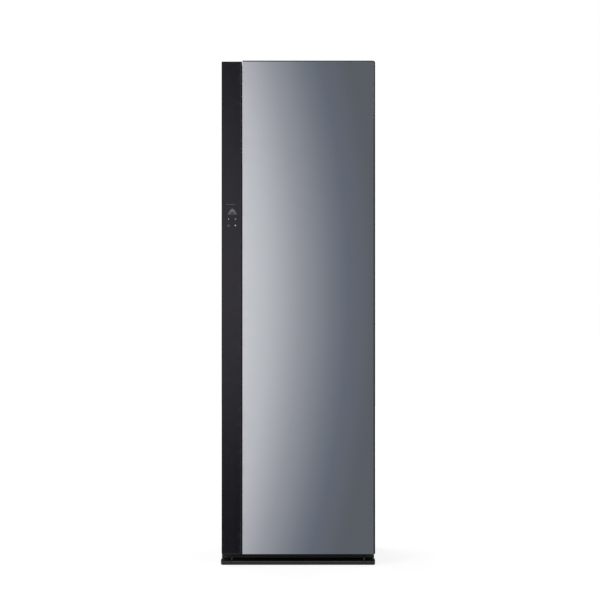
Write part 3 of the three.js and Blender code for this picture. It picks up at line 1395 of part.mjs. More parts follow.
// Evaporator and condenser: fins between two end plates, threaded by tubes.
function coilPack() {
  const [x0, x1] = [coilCentreX - coilWidth / 2, coilCentreX + coilWidth / 2];
  const [y0, y1] = [coilFrontY, coilFrontY + coilDepth];
  const ends = [[x0, x0 + coilEndPlate], [x1 - coilEndPlate, x1]].map(([a, b]) => block(a, b, y0, y1,
    machineFloorZ, coilTopZ));
  const pitch = (coilWidth - 2 * coilEndPlate) / (finCount + 1);
  const fins = Array.from({ length: finCount }, (_, i) => {
    const x = x0 + coilEndPlate + pitch * (i + 1);
    return block(x - finThickness / 2, x + finThickness / 2, y0 + finInset, y1 - finInset,
      machineFloorZ + finInset, coilTopZ - finInset);
  });
  const tubes = coilTubeShares.map(([depthShare, heightShare]) => rod(coilTubeRadius, 'x',
    x0 - coilTubeRadius, x1 + coilTubeRadius,
    [0, y0 + coilDepth * depthShare, machineFloorZ + coilHeight * heightShare], coilTubeSegments));
  return join(...ends, ...fins, ...tubes);
}

// Outline of the blower's scroll, seen from above: its radius grows towards the outlet.
function scrollOutline(inset) {
  const points = Array.from({ length: scrollSteps + 1 }, (_, i) => {
    const share = i / scrollSteps;
    const radius = scrollStartRadius + scrollGrowth * share - inset;
    const turn = share * 2 * Math.PI;
    return new THREE.Vector2(coilCentreX + radius * Math.cos(turn), coilMiddleY + radius * Math.sin(turn));
  });
  return new THREE.Shape(points);
}

// Blower housing on top of the coils, its outlet at the back.
function blowerHousing() {
  const [z0, z1] = [scrollBottomZ, scrollTopZ];
  const outlet = (inset, run) => block(scrollOutletX0 + inset, scrollOutletX1 - inset, coilMiddleY,
    linerBackY + run, z0 + inset, z1 - inset);
  return cut(
    join(prism(scrollOutline(0), 'z', z0, z1), outlet(0, 0)),
    prism(scrollOutline(scrollWall), 'z', z0 + scrollWall, z1 - scrollWall),
    outlet(scrollWall, overrun),
    rod(scrollInletRadius, 'z', z0 - overrun, z0 + scrollWall + overrun, [coilCentreX, coilMiddleY, 0]),
    rod(wheelShaftRadius + clearance, 'z', z1 - scrollWall - overrun, z1 + overrun,
      [coilCentreX, coilMiddleY, 0], shaftSegments),
  );
}

// Blower wheel: curved blades between a disc and a ring, on a shaft through the housing's top.
function blowerWheel() {
  const z0 = scrollBottomZ + (scrollHeight - wheelHeight) / 2;
  const z1 = z0 + wheelHeight;
  const at = [coilCentreX, coilMiddleY, 0];
  const disc = rod(wheelRadius, 'z', z1 - wheelDisc, z1, at);
  const hub = rod(wheelHub, 'z', z1 - wheelHub, z1, at, shaftSegments);
  const shaft = rod(wheelShaftRadius, 'z', z1 - wheelDisc, scrollTopZ + wheelHub / 2, at, shaftSegments);
  const ring = turned([
    [wheelRadius - wheelBladeDepth, z0], [wheelRadius, z0], [wheelRadius, z0 + wheelRing],
    [wheelRadius - wheelBladeDepth, z0 + wheelRing], [wheelRadius - wheelBladeDepth, z0],
  ], 'z', at);
  const section = new THREE.Shape();
  const [inner, outer] = [wheelRadius - wheelBladeDepth + edgeBevel, wheelRadius - edgeBevel];
  section.moveTo(inner, 0);
  section.quadraticCurveTo(inner + wheelBladeDepth / 2, 0, outer, wheelBladeDepth / 2);
  section.lineTo(outer, wheelBladeDepth / 2 + wheelBladeThickness);
  section.quadraticCurveTo(inner + wheelBladeDepth / 2, wheelBladeThickness, inner, wheelBladeThickness);
  const blade = prism(section, 'z', z0 + wheelRing / 2, z1 - wheelDisc / 2, bladeSegments);
  const blades = Array.from({ length: wheelBladeCount }, (_, i) => blade
    .rotate([0, 0, 360 * i / wheelBladeCount]).translate([coilCentreX, coilMiddleY, 0]));
  return join(disc, hub, shaft, ring, ...blades);
}

// Duct from the blower's outlet up to the air outlet in the chamber's back wall.
function airDuct() {
  const x0 = Math.min(outletX0, scrollOutletX0) - ductMargin;
  const x1 = Math.max(outletX1, scrollOutletX1) + ductMargin;
  const y0 = linerBackY + clearance;
  const [z0, z1] = [scrollBottomZ - ductMargin, outletZ1 + ductMargin];
  return cut(
    block(x0, x1, y0, y0 + ductDepth, z0, z1),
    block(x0 + ductWall, x1 - ductWall, y0 + ductWall, y0 + ductDepth - ductWall,
      z0 + ductWall, z1 - ductWall),
    block(scrollOutletX0 + scrollWall, scrollOutletX1 - scrollWall, y0 - overrun,
      y0 + ductWall + overrun, scrollBottomZ + scrollWall, scrollTopZ - scrollWall),
    block(outletX0, outletX1, y0 - overrun, y0 + ductWall + overrun, outletZ0, outletZ1),
  );
}

const boilerTopZ = machineFloorZ + boilerHeight;

// Steam generator: a stainless vessel with a bolted flange and an outlet port.
function steamGenerator() {
  const [x0, x1] = [boilerX - boilerWidth / 2, boilerX + boilerWidth / 2];
  const [y0, y1] = [boilerY - boilerDepth / 2, boilerY + boilerDepth / 2];
  const flangeZ = boilerTopZ - boilerFlangeDrop;
  return join(
    prism(rectangle(x0, x1, y0, y1, boilerRadius), 'z', machineFloorZ, boilerTopZ),
    prism(rectangle(x0 - boilerFlange, x1 + boilerFlange, y0 - boilerFlange, y1 + boilerFlange,
      boilerRadius), 'z', flangeZ, flangeZ + boilerFlangeThickness),
    rod((hoseBore - clearance) * hoseFacetShare, 'z', boilerTopZ - overrun, boilerTopZ + hoseSpigot,
      [nozzleX, boilerY, 0], hoseSegments),
  );
}

// Hose from the generator up to the nozzle, pushed over both spigots.
function steamHose() {
  const at = (y, z) => new THREE.Vector3(nozzleX, y, z);
  const end = at(linerBackY + nozzleNeckLength + clearance, nozzleZ);
  const bendStart = at(boilerY, nozzleZ - hoseBend);
  const path = new THREE.CurvePath();
  path.add(new THREE.LineCurve3(at(boilerY, boilerTopZ + clearance), bendStart));
  path.add(new THREE.QuadraticBezierCurve3(bendStart, at(boilerY, nozzleZ), end));
  const section = new THREE.Shape().absarc(0, 0, hoseRadius, 0, 2 * Math.PI);
  section.holes.push(new THREE.Path().absarc(0, 0, hoseBore, 0, 2 * Math.PI, true));
  return solid(new THREE.ExtrudeGeometry(section, {
    steps: hoseSteps, curveSegments: hoseSegments / 2, extrudePath: path, bevelEnabled: false,
  }));
}

// Assembly.

// A solid as a named mesh.
function piece(name, made, material) {
  const shape = made.getMesh();
  const geometry = new THREE.BufferGeometry();
  geometry.setAttribute('position', new THREE.BufferAttribute(shape.vertProperties, 3));
  geometry.setIndex(new THREE.BufferAttribute(shape.triVerts, 1));
  geometry.computeVertexNormals();
  const mesh = new THREE.Mesh(geometry, material);
  mesh.name = name;
  return mesh;
}

// Pieces that move together, in a group that turns or slides about its own origin.
function moving(origin, ...meshes) {
  const group = new THREE.Group();
  group.position.set(...origin);
  meshes.forEach((mesh) => {
    mesh.position.sub(group.position);
    group.add(mesh);
  });
  return group;
}

// A piece drawn about its own origin, put in its place.
function placed(mesh, x, y, z) {
  mesh.position.set(x, y, z);
  return mesh;
}

const cabinet = new THREE.Group();

cabinet.add(
  piece('base_frame', baseFrame(), zinc),
  piece('plinth_strip', plinthStrip(), darkTrim),
  piece('foot_cover_left', footCover(-1), blackPlastic),
  piece('foot_cover_right', footCover(1), blackPlastic),
  piece('side_panel_left', sidePanel(-1), darkPaint),
  piece('side_panel_right', sidePanel(1), darkPaint),
  piece('top_panel', topPanel(), darkPaint),
  piece('rear_panel_upper', rearPanelUpper(), zinc),
  piece('rear_panel_lower', rearPanelLower(), zinc),
  piece('mains_gland', mainsGland(), blackPlastic),
  piece('front_frame', frontFrame(), framePlastic),
  piece('control_column', controlColumn(), blackPlastic),
  piece('control_glass', controlGlass(), blackGlass),
  piece('control_board', controlBoard(), board),
  piece('hinge_plate_upper', hingeUpper(), zinc),
  piece('hinge_plate_lower', hingeLower(), darkPaint),
  piece('hinge_cover', hingeCover(), blackPlastic),
  piece('inner_liner', innerLiner(), linerPlastic),
  piece('chamber_lamp', chamberLamp(), lampLensWhite),
  piece('air_outlet', airOutlet(), blackPlastic),
  piece('steam_nozzle', steamNozzle(), blackPlastic),
  piece('guide_rail_left', guideRail(-1), greyPlastic),
  piece('guide_rail_right', guideRail(1), greyPlastic),
  piece('motor_bridge', motorBridge(), zinc),
  piece('drive_motor', driveMotor(), stainless),
  piece('tank_fascia', fascia(), framePlastic),
  piece('compressor', compressor(), blackPlastic),
  piece('coil_pack', coilPack(), aluminium),
  piece('blower_housing', blowerHousing(), greyPlastic),
  piece('air_duct', airDuct(), greyPlastic),
  piece('steam_generator', steamGenerator(), stainless),
  piece('steam_hose', steamHose(), rubber),
);

for (const [side, word] of [[-1, 'left'], [1, 'right']]) {
  cabinet.add(placed(piece(`front_foot_${word}`, frontFoot(), rubber), footX(side), footY, 0));
  cabinet.add(placed(piece(`rear_foot_${word}`, rearFoot(), rubber),
    side * (right - rearFootInset), bodyBackY - rearFootInset, 0));
}

const press = moving([pressAxisX, pressAxisY, 0], piece('press_leaf', pressLeaf(), greyPlastic));
cabinet.add(moving([hingeX, hingeY, 0],
  piece('door_glass', doorGlass(), mirror),
  piece('door_handle_rail', handleRail(), darkTrim),
  piece('door_side_trim', sideTrim(), darkTrim),
  piece('door_cap_top', endCap(1), darkTrim),
  piece('door_cap_bottom', endCap(-1), darkTrim),
  piece('door_inner_panel', innerPanel(), linerPlastic),
  piece('door_core', doorCore(), greyPlastic),
  piece('door_seal', doorSeal(), rubber),
  piece('press_board', pressBoard(), framePlastic),
  press,
));

const hangers = hangerSlots.map((slot, i) => placed(
  piece(`garment_hanger_${i + 1}`, garmentHanger(), blackPlastic),
  chamberX + (slot - (grooveCount - 1) / 2) * groovePitch, barY, barZ));
cabinet.add(moving([chamberX, barY, barZ],
  piece('slider_beam', sliderBeam(), greyPlastic),
  piece('hanger_bar', hangerBar(), stainless),
  ...hangers,
));
cabinet.add(moving([chamberX, barY, crankBottomZ], piece('crank_disc', crank(), zinc)));
cabinet.add(moving([coilCentreX, coilMiddleY, scrollBottomZ],
  piece('blower_wheel', blowerWheel(), blackPlastic)));
cabinet.add(
  piece('garment_shelf', shelf(), framePlastic),
  piece('lint_filter', lintFilter(), greyPlastic),
  piece('scent_case', scentCase(), greyPlastic),
);

for (const [x, word] of [[tankX[0], 'supply'], [tankX[1], 'drain']]) {
  const tankGroup = new THREE.Group();
  tankGroup.position.set(x, tankFrontY, tankBottomHeight);
  tankGroup.add(piece(`${word}_tank`, tank(), tankPlastic),
    piece(`${word}_tank_lid`, tankLid(), blackPlastic));
  cabinet.add(tankGroup);
}

export default cabinet;
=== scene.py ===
# %% [markdown]
# # A clothes care cabinet, dressed for its picture
#
# The cabinet is a tall steel shell with a mirrored glass door, a black glass column for its
# controls, and a moulded chamber in which clothes hang from a bar that shakes them. Its solids and
# its joints come ready made. Here they get rounded edges, real finishes, the small hardware that a
# solid model leaves out, a studio and a camera.

# %% Load the finished solids
import json
import math
import bmesh
import bpy
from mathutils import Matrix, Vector


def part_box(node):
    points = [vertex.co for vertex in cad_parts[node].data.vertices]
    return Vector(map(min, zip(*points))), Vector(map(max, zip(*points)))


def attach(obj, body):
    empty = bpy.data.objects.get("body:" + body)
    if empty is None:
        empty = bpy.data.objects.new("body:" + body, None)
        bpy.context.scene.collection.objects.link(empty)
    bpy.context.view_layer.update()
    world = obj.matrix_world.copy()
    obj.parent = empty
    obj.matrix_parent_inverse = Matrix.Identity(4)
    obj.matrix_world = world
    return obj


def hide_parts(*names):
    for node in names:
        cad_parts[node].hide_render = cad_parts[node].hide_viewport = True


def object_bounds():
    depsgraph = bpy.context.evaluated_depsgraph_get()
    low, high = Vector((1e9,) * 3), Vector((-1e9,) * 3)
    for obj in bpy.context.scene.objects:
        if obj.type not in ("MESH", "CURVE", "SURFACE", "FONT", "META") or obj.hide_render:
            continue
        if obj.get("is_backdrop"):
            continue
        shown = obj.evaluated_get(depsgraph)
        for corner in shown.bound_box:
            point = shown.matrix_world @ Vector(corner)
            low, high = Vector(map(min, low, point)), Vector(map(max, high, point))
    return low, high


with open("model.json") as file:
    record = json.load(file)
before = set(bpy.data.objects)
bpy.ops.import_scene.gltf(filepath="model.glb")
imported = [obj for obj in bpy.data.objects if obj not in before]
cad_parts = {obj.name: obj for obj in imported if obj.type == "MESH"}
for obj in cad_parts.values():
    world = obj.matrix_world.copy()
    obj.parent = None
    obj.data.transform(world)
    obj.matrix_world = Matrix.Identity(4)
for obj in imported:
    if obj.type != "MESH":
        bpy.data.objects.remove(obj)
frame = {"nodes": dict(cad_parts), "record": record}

MM = 0.001
cad_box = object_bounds()
print("The solids measure", [round(side / MM) for side in cad_box[1] - cad_box[0]], "mm")

# %% [markdown]
# ## The camera
#
# A product photographer sets a tall cabinet up straight: the camera stands level and far away, so
# that no edge leans, and the frame is moved with a lens shift. The focal length and the shift are
# in pixels of a picture 600 pixels wide.

# %% Set up the camera
PICTURE = 600
FOCAL_PIXELS = 1801.5
SHIFT_RIGHT, SHIFT_UP = 2, 28.2
SENSOR = 36
EYE_HEIGHT = 0.92
EYE_DISTANCE = 7.0
DOOR_FACE = cad_box[0].y

lens = bpy.data.cameras.new("studio_camera")
lens.sensor_width = SENSOR
lens.lens = SENSOR * FOCAL_PIXELS / PICTURE
lens.shift_x, lens.shift_y = SHIFT_RIGHT / PICTURE, SHIFT_UP / PICTURE
camera = bpy.data.objects.new("studio_camera", lens)
camera.location = (0, DOOR_FACE - EYE_DISTANCE, EYE_HEIGHT)
camera.rotation_euler = (math.radians(90), 0, 0)
bpy.context.collection.objects.link(camera)
bpy.context.scene.camera = camera
bpy.context.scene.view_settings.view_transform = "Standard"
print("The lens is", round(lens.lens, 1), "mm long")

# %% [markdown]
# ## Small helpers
#
# Node trees are made in code all through this lesson. `put` adds a node and links or types in its
# inputs. `maths`, `product`, `span`, `combine`, `noise` and `blend_colour` use it for one sum, a
# product, a mapped range, a vector, a soft noise and a mix of two colours. `new_finish` starts a
# material. `mesh_from` ends a mesh that is being built, `show` makes it an object, and `settle`
# keeps what an object's modifiers made of it and removes them.

# %% Helpers for nodes, finishes and meshes
def put(tree, kind, *values, inputs=None, **settings):
    node = tree.nodes.new(kind)
    for name, value in settings.items():
        setattr(node, name, value)
    for key, value in [*enumerate(values), *(inputs or {}).items()]:
        if isinstance(value, bpy.types.NodeSocket):
            tree.links.new(value, node.inputs[key])
        elif value is not None:
            node.inputs[key].default_value = value
    return node


def maths(tree, operation, *values, clamp=False):
    return put(tree, "ShaderNodeMath", *values, operation=operation, use_clamp=clamp).outputs[0]


def product(tree, *values):
    result = values[0]
    for value in values[1:]:
        result = maths(tree, "MULTIPLY", result, value)
    return result


def span(tree, value, low, high, start=0.0, end=1.0, **settings):
    return put(tree, "ShaderNodeMapRange", value, low, high, start, end, **settings).outputs[0]


def combine(tree, *parts):
    return put(tree, "ShaderNodeCombineXYZ", *parts).outputs[0]


def place_of(tree):
    return put(tree, "ShaderNodeTexCoord").outputs["Object"]


def noise(tree, scale, detail, place=None, **inputs):
    inputs.update(Scale=scale, Detail=detail)
    at = place_of(tree) if place is None else place
    return put(tree, "ShaderNodeTexNoise", at, inputs=inputs).outputs["Fac"]


def blend_colour(tree, factor, *colours):
    first, second = (colour if isinstance(colour, bpy.types.NodeSocket) else (*colour, 1)
                     for colour in colours)
    return put(tree, "ShaderNodeMix", data_type="RGBA",
               inputs={0: factor, 6: first, 7: second}).outputs[2]


finishes = {}


def new_finish(name, colour, roughness, metallic=0.0, **sockets):
    material = finishes[name] = bpy.data.materials.new(name)
    material.use_nodes = True
    shader = material.node_tree.nodes["Principled BSDF"]
    sockets.update(Base_Color=(*colour, 1), Roughness=roughness, Metallic=metallic)
    for label, value in sockets.items():
        shader.inputs[label.replace("_", " ")].default_value = value
    return material.node_tree, shader


def mesh_from(build, name, *materials):
    mesh = bpy.data.meshes.new(name)
    build.to_mesh(mesh)
    build.free()
    for material in materials:
        mesh.materials.append(material)
    return mesh


def show(name, data):
    piece = bpy.data.objects.new(name, data)
    bpy.context.collection.objects.link(piece)
    return piece


def settle(piece):
    plain = bpy.data.meshes.new_from_object(
        piece.evaluated_get(bpy.context.evaluated_depsgraph_get()))
    piece.modifiers.clear()
    piece.data = plain


# %% [markdown]
# ## The studio
#
# The floor is a wide pale disc. To the camera it is a darker disc with a light of its own, which
# together come out just white and leave a faint shadow. A floor brighter than white would eat into
# the cabinet's dark edges. Far out, where the lamps don't reach, its own light is stronger, so that
# it runs into the white background. Under the cabinet a painted shadow makes it black to the
# camera, with a crisp border below the plinth and a soft one behind it, so that the crack stays
# dark. Large lamps give the soft light a direction.

# %% Floor and lamps
FLOOR_RADIUS = 14
FLOOR_TONE, FLOOR_TONE_SEEN = (0.86,) * 3, (0.22,) * 3
FLOOR_LIFT = 0.81
LIFT_GROWS = (2.0, 8.0)
CRISP, SOFT = 4 * MM, 45 * MM
LAMPS_AIM = Vector((0, 0, 1))

floor_build = bmesh.new()
bmesh.ops.create_circle(floor_build, cap_ends=True, segments=96, radius=FLOOR_RADIUS)
floor = show("studio_floor", mesh_from(floor_build, "studio_floor"))
floor.visible_glossy = False
tree, shader = new_finish("floor_paint", FLOOR_TONE, 0.9, Specular_IOR_Level=0.0)
spot = put(tree, "ShaderNodeSeparateXYZ", place_of(tree))


def inside(low, high, soft):
    """A mask over the floor: 1 in a rectangle, falling to 0 at its border."""
    return product(tree, *(span(tree, spot.outputs[i], edge[i], edge[i] + inwards)
                           for i in range(2) for edge, inwards in ((low, soft), (high, -soft))))


plinth_back = (cad_box[1].x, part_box("plinth_strip")[1].y)
# Painted shadow: under the cabinet the camera sees the floor black, crisp below the plinth and soft
# behind it.
under = maths(tree, "MAXIMUM", inside(cad_box[0], plinth_back, CRISP), inside(*cad_box, SOFT))
outwards = put(tree, "ShaderNodeVectorMath", place_of(tree), operation="LENGTH").outputs["Value"]
own_light = span(tree, outwards, *LIFT_GROWS, FLOOR_LIFT, 1.0)
camera_only = put(tree, "ShaderNodeLightPath").outputs["Is Camera Ray"]
seen = blend_colour(tree, under, FLOOR_TONE_SEEN, (0, 0, 0))
tree.links.new(blend_colour(tree, camera_only, FLOOR_TONE, seen), shader.inputs["Base Color"])
lift = put(tree, "ShaderNodeEmission", inputs={
    "Strength": product(tree, own_light, maths(tree, "SUBTRACT", 1.0, under), camera_only)})
both = put(tree, "ShaderNodeAddShader", shader.outputs[0], lift.outputs[0])
tree.links.new(both.outputs[0], tree.nodes["Material Output"].inputs["Surface"])
floor.data.materials.append(finishes["floor_paint"])
floor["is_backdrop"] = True

LAMPS = {
    "key_lamp": ((-3.6, -4.6, 3.4), 2.8, 150),
    "fill_lamp": ((4.2, -3.8, 3.6), 2.6, 80),
    "top_lamp": ((0.3, 0.6, 4.6), 2.6, 35),
    "rear_lamp": ((-1.8, 4.2, 4.6), 2.8, 150),
}
for name, (place, side, power) in LAMPS.items():
    light = bpy.data.lights.new(name, "AREA")
    light.size, light.energy = side, power
    lamp = show(name, light)
    lamp.location = place
    lamp.rotation_euler = (LAMPS_AIM - Vector(place)).to_track_quat("-Z", "Y").to_euler()
print(len(LAMPS), "lamps")

# %% [markdown]
# ## What reflections see
#
# A mirror door in an empty white room would be a white sheet from every side. Real studios have
# darker corners between their lights. `room_tone` turns a direction into a brightness: much more
# light from above than from below, and more from one diagonal than from the other. The world uses
# it for reflections only. To the camera and through clear walls it is plain white, and as a light
# it is weak and even.

# %% The room's tone and the world
AMBIENT = 0.5
FROM_ABOVE = 2.6
ROOM_RANGE, DARKEST = (-1.4, 1.15), 0.12

room_tone = bpy.data.node_groups.new("room_tone", "ShaderNodeTree")
room_tone.interface.new_socket(name="Direction", in_out="INPUT", socket_type="NodeSocketVector")
room_tone.interface.new_socket(name="Tone", in_out="OUTPUT", socket_type="NodeSocketFloat")
towards = put(room_tone, "ShaderNodeSeparateXYZ", put(room_tone, "NodeGroupInput").outputs[0])
diagonal = product(room_tone, towards.outputs["X"], towards.outputs["Y"])
level = maths(room_tone, "ADD", product(room_tone, towards.outputs["Z"], FROM_ABOVE), diagonal)
put(room_tone, "NodeGroupOutput", span(room_tone, level, *ROOM_RANGE, DARKEST, 1.0))

world = bpy.data.worlds.new("studio_world")
world.use_nodes = True
bpy.context.scene.world = world
tree = world.node_tree
tree.nodes.clear()
path = put(tree, "ShaderNodeLightPath")
room = put(tree, "ShaderNodeGroup", put(tree, "ShaderNodeTexCoord").outputs["Generated"],
           node_tree=room_tone)
plain = maths(tree, "MAXIMUM", path.outputs["Is Camera Ray"], path.outputs["Is Transmission Ray"])
seen = put(tree, "ShaderNodeMix", data_type="FLOAT", inputs={
    0: path.outputs["Is Glossy Ray"], 2: AMBIENT, 3: room.outputs[0]})
background = put(tree, "ShaderNodeBackground", (1, 1, 1, 1),
                 maths(tree, "MAXIMUM", seen.outputs[0], plain))
put(tree, "ShaderNodeOutputWorld", background.outputs[0])

# %% [markdown]
# ## The far wall
#
# Straight ahead the door mirrors the wall behind the camera, bright on one side and dark on the
# other. It is a patch of a large sphere that only reflections see. Its tone follows how far a point
# lies to the side, plus a little more the further it lies above or below a height just over eye
# level, so the bright area's edge is a soft arc. Further out it runs into the room's own tone.

# %% Build the far wall
WALL_RADIUS = 9
WALL_REACH = 62
WALL_RISE_SHARE = 0.62
EYE = Vector((0, 0, EYE_HEIGHT))

wall_build = bmesh.new()
bmesh.ops.create_grid(wall_build, x_segments=48, y_segments=32, size=1)
for point in wall_build.verts:
    across = math.radians(point.co.x * WALL_REACH)
    up = math.radians(point.co.y * WALL_REACH * WALL_RISE_SHARE)
    point.co = EYE + WALL_RADIUS * Vector((
        math.sin(across) * math.cos(up), -math.cos(across) * math.cos(up), math.sin(up)))
wall = show("far_wall", mesh_from(wall_build, "far_wall"))
for ray in ("camera", "diffuse", "transmission", "volume_scatter", "shadow"):
    setattr(wall, f"visible_{ray}", False)
wall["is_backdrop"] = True
print("The far wall spans", 2 * WALL_REACH, "degrees")

# %% [markdown]
# ### The wall's light
#
# A colour ramp with six stops runs from a bright grey on the left to a dark blue-grey on the right.
# The door's tinted glass gives back half of it. The part that the control glass mirrors, further
# left, is dimmer, and it falls off above and below, so that the black column is lightest at its
# middle and darkens to its ends. Lengths are in metres, from eye level where they are heights.

# %% Paint the far wall with light
STOPS = ((0.0, (1.18, 1.18, 1.2)), (0.2, (0.945, 0.95, 0.975)), (0.43, (0.59, 0.6, 0.64)),
         (0.65, (0.344, 0.367, 0.42)), (0.78, (0.254, 0.276, 0.333)), (1.0, (0.206, 0.222, 0.245)))
RAMP_SPAN = (-0.5, 0.7)
BEND_AT, BEND, BEND_MOST = 0.3, 0.067, 0.5
COLUMN_SHARE = 0.56
COLUMN_EDGE = (-0.484, -0.5)
COLUMN_BEST = 0.4
COLUMN_FALLS = ((-1.8, 0.72), (3.3, 0.75))
WALL_LEFT, WALL_RIGHT, WALL_HIGH = (-0.8, -3.0), (2.2, 6.0), (3.0, 5.0)


def fade(tree, value, start, end, top=1.0):
    """Rises smoothly from 0 at start to top at end."""
    return span(tree, value, start, end, 0.0, top, interpolation_type="SMOOTHSTEP")


wall_light = bpy.data.materials.new("far_wall_light")
wall_light.use_nodes = True
tree = wall_light.node_tree
tree.nodes.clear()
from_eye = put(tree, "ShaderNodeVectorMath", place_of(tree), EYE, operation="SUBTRACT").outputs[0]
spot = put(tree, "ShaderNodeSeparateXYZ", from_eye)
across, height = spot.outputs["X"], spot.outputs["Z"]
raised = maths(tree, "SUBTRACT", height, BEND_AT)
bend = maths(tree, "MINIMUM", product(tree, raised, raised, BEND), BEND_MOST)
ramp = put(tree, "ShaderNodeValToRGB", span(tree, maths(tree, "ADD", across, bend), *RAMP_SPAN))
while len(ramp.color_ramp.elements) < len(STOPS):
    ramp.color_ramp.elements.new(0.5)
for element, (place, colour) in zip(ramp.color_ramp.elements, STOPS):
    element.position, element.color = place, (*colour, 1)
falloff = maths(tree, "ADD", *(fade(tree, height, COLUMN_BEST, *fall) for fall in COLUMN_FALLS))
kept = product(tree, maths(tree, "SUBTRACT", 1.0, falloff), COLUMN_SHARE)
on_column = product(tree, fade(tree, across, *COLUMN_EDGE), maths(tree, "SUBTRACT", 1.0, kept))
dimmed = blend_colour(tree, on_column, ramp.outputs[0], (0, 0, 0))
outside = maths(tree, "MAXIMUM", fade(tree, across, *WALL_LEFT), fade(tree, across, *WALL_RIGHT))
away = maths(tree, "ABSOLUTE", height)
outside = maths(tree, "MAXIMUM", outside, fade(tree, away, *WALL_HIGH))
direction = put(tree, "ShaderNodeVectorMath", from_eye, operation="NORMALIZE")
room = put(tree, "ShaderNodeGroup", direction.outputs[0], node_tree=room_tone)
glow = put(tree, "ShaderNodeEmission", blend_colour(tree, outside, dimmed, room.outputs[0]))
put(tree, "ShaderNodeOutputMaterial", glow.outputs[0])
wall.data.materials.append(wall_light)

# %% [markdown]
# ## Effects that many finishes share
#
# Real surfaces are never even. Each effect below is one node group with named values, so that every
# finish can use it in its own strength. A group gives masks and heights, and the shader stays in
# the material. All of them read the object's own coordinates, in metres.

# %% A maker of effect groups
def new_effect(name, values, results):
    effect = bpy.data.node_groups.new(name, "ShaderNodeTree")
    for label, value in values.items():
        effect.interface.new_socket(
            name=label, in_out="INPUT", socket_type="NodeSocketFloat").default_value = value
    for label in results:
        effect.interface.new_socket(name=label, in_out="OUTPUT", socket_type="NodeSocketFloat")
    source, target = (effect.nodes.new(kind) for kind in ("NodeGroupInput", "NodeGroupOutput"))
    return effect, source.outputs, target.inputs


# %% [markdown]
# ### Moulded skin
#
# The tool of a moulded plastic piece is etched, which hides flow marks. What it leaves is a field
# of tiny rounded cells, well under a millimetre across, and a slightly cloudy tone.

# %% The moulded skin group
moulded, given, result = new_effect(
    "moulded_skin", {"Grain": 1400.0, "Cloud": 7.0}, ("Height", "Tone"))
cells = put(moulded, "ShaderNodeTexVoronoi", place_of(moulded), feature="SMOOTH_F1",
            inputs={"Scale": given["Grain"], "Smoothness": 0.6})
grain = maths(moulded, "ADD", cells.outputs["Distance"], noise(moulded, given["Grain"], 3.0))
moulded.links.new(product(moulded, grain, 0.5), result["Height"])
moulded.links.new(noise(moulded, given["Cloud"], 4.0), result["Tone"])

# %% [markdown]
# ### Painted ripple
#
# Powder paint melts in an oven and levels almost flat. A ripple of a few millimetres stays, and the
# powder's pigment shows as very fine flecks.

# %% The painted ripple group
painted, given, result = new_effect(
    "painted_ripple", {"Ripple": 260.0, "Fleck": 3200.0}, ("Height", "Fleck", "Tone"))
fleck = put(painted, "ShaderNodeTexVoronoi", place_of(painted), inputs={"Scale": given["Fleck"]})
painted.links.new(noise(painted, given["Ripple"], 1.0), result["Height"])
painted.links.new(fleck.outputs["Color"], result["Fleck"])
painted.links.new(noise(painted, 4.0, 3.0), result["Tone"])

# %% [markdown]
# ### Drawn lines
#
# Drawn or brushed metal keeps hair lines along one way. Noise is stretched for this: few cells to
# the metre along the lines, hundreds across them.

# %% The drawn lines group
drawn, given, result = new_effect(
    "drawn_lines", {"Along X": 4.0, "Along Y": 900.0, "Along Z": 900.0}, ("Height", "Tone"))
scale = combine(drawn, *(given[f"Along {axis}"] for axis in "XYZ"))
stretched = put(drawn, "ShaderNodeVectorMath", place_of(drawn), scale, operation="MULTIPLY")
hair = noise(drawn, 1.0, 5.0, stretched.outputs[0])
drawn.links.new(hair, result["Height"])
mixed = maths(drawn, "ADD", hair, noise(drawn, 12.0, 3.0))
drawn.links.new(product(drawn, mixed, 0.5), result["Tone"])

# %% [markdown]
# ### Rubbed edges
#
# Hands, cloths and packing rub edges first. Where a softened normal leaves the true one, an edge is
# near. A patchy noise breaks the rubbed line up, because wear is never a clean outline.

# %% The rubbed edge group
EDGE_GAIN = 7.0
rubbed, given, result = new_effect("rubbed_edge", {"Reach": 1.5 * MM, "Amount": 1.0}, ("Mask",))
softened = put(rubbed, "ShaderNodeBevel", inputs={"Radius": given["Reach"]}, samples=4)
sharp = put(rubbed, "ShaderNodeNewGeometry")
same = put(rubbed, "ShaderNodeVectorMath", softened.outputs[0], sharp.outputs["Normal"],
           operation="DOT_PRODUCT").outputs["Value"]
turned = maths(rubbed, "MULTIPLY", maths(rubbed, "SUBTRACT", 1.0, same), EDGE_GAIN, clamp=True)
patch = span(rubbed, noise(rubbed, 140.0, 4.0), 0.38, 0.62)
rubbed.links.new(product(rubbed, turned, patch, given["Amount"]), result["Mask"])

# %% [markdown]
# ### Touched glass and settled dust
#
# Wiped glass keeps faint smears. They change its gloss much more than its colour. Dust lies only
# on what faces up, so its mask starts from the normal's upward part, as a slightly uneven film.

# %% The glass and dust groups
touched, given, result = new_effect("touched_glass", {"Size": 22.0, "Amount": 0.5}, ("Mask",))
smear = span(touched, noise(touched, given["Size"], 6.0, Distortion=0.7), 0.45, 0.75)
touched.links.new(product(touched, smear, given["Amount"]), result["Mask"])

dusty, given, result = new_effect("settled_dust", {"Amount": 0.3}, ("Mask",))
facing = put(dusty, "ShaderNodeSeparateXYZ", put(dusty, "ShaderNodeNewGeometry").outputs["Normal"])
upward = span(dusty, facing.outputs["Z"], 0.6, 1.0)
film = span(dusty, noise(dusty, 60.0, 8.0), 0.35, 0.7, 0.3, 0.65)
dusty.links.new(product(dusty, upward, film, given["Amount"]), result["Mask"])
print("Effects:", sorted(group.name for group in bpy.data.node_groups))

# %% [markdown]
# ## Finishes
#
# A finish starts as a plain shader with one colour. `use_effect` places a group in it, `rub` mixes
# a second colour in along the edges, `shade` mixes the surface colour by a mask, `gloss` moves the
# roughness by one, and `relief` makes a height a bump. Reach and depth are in millimetres. `tones`
# gives a darker and a paler version of a colour.

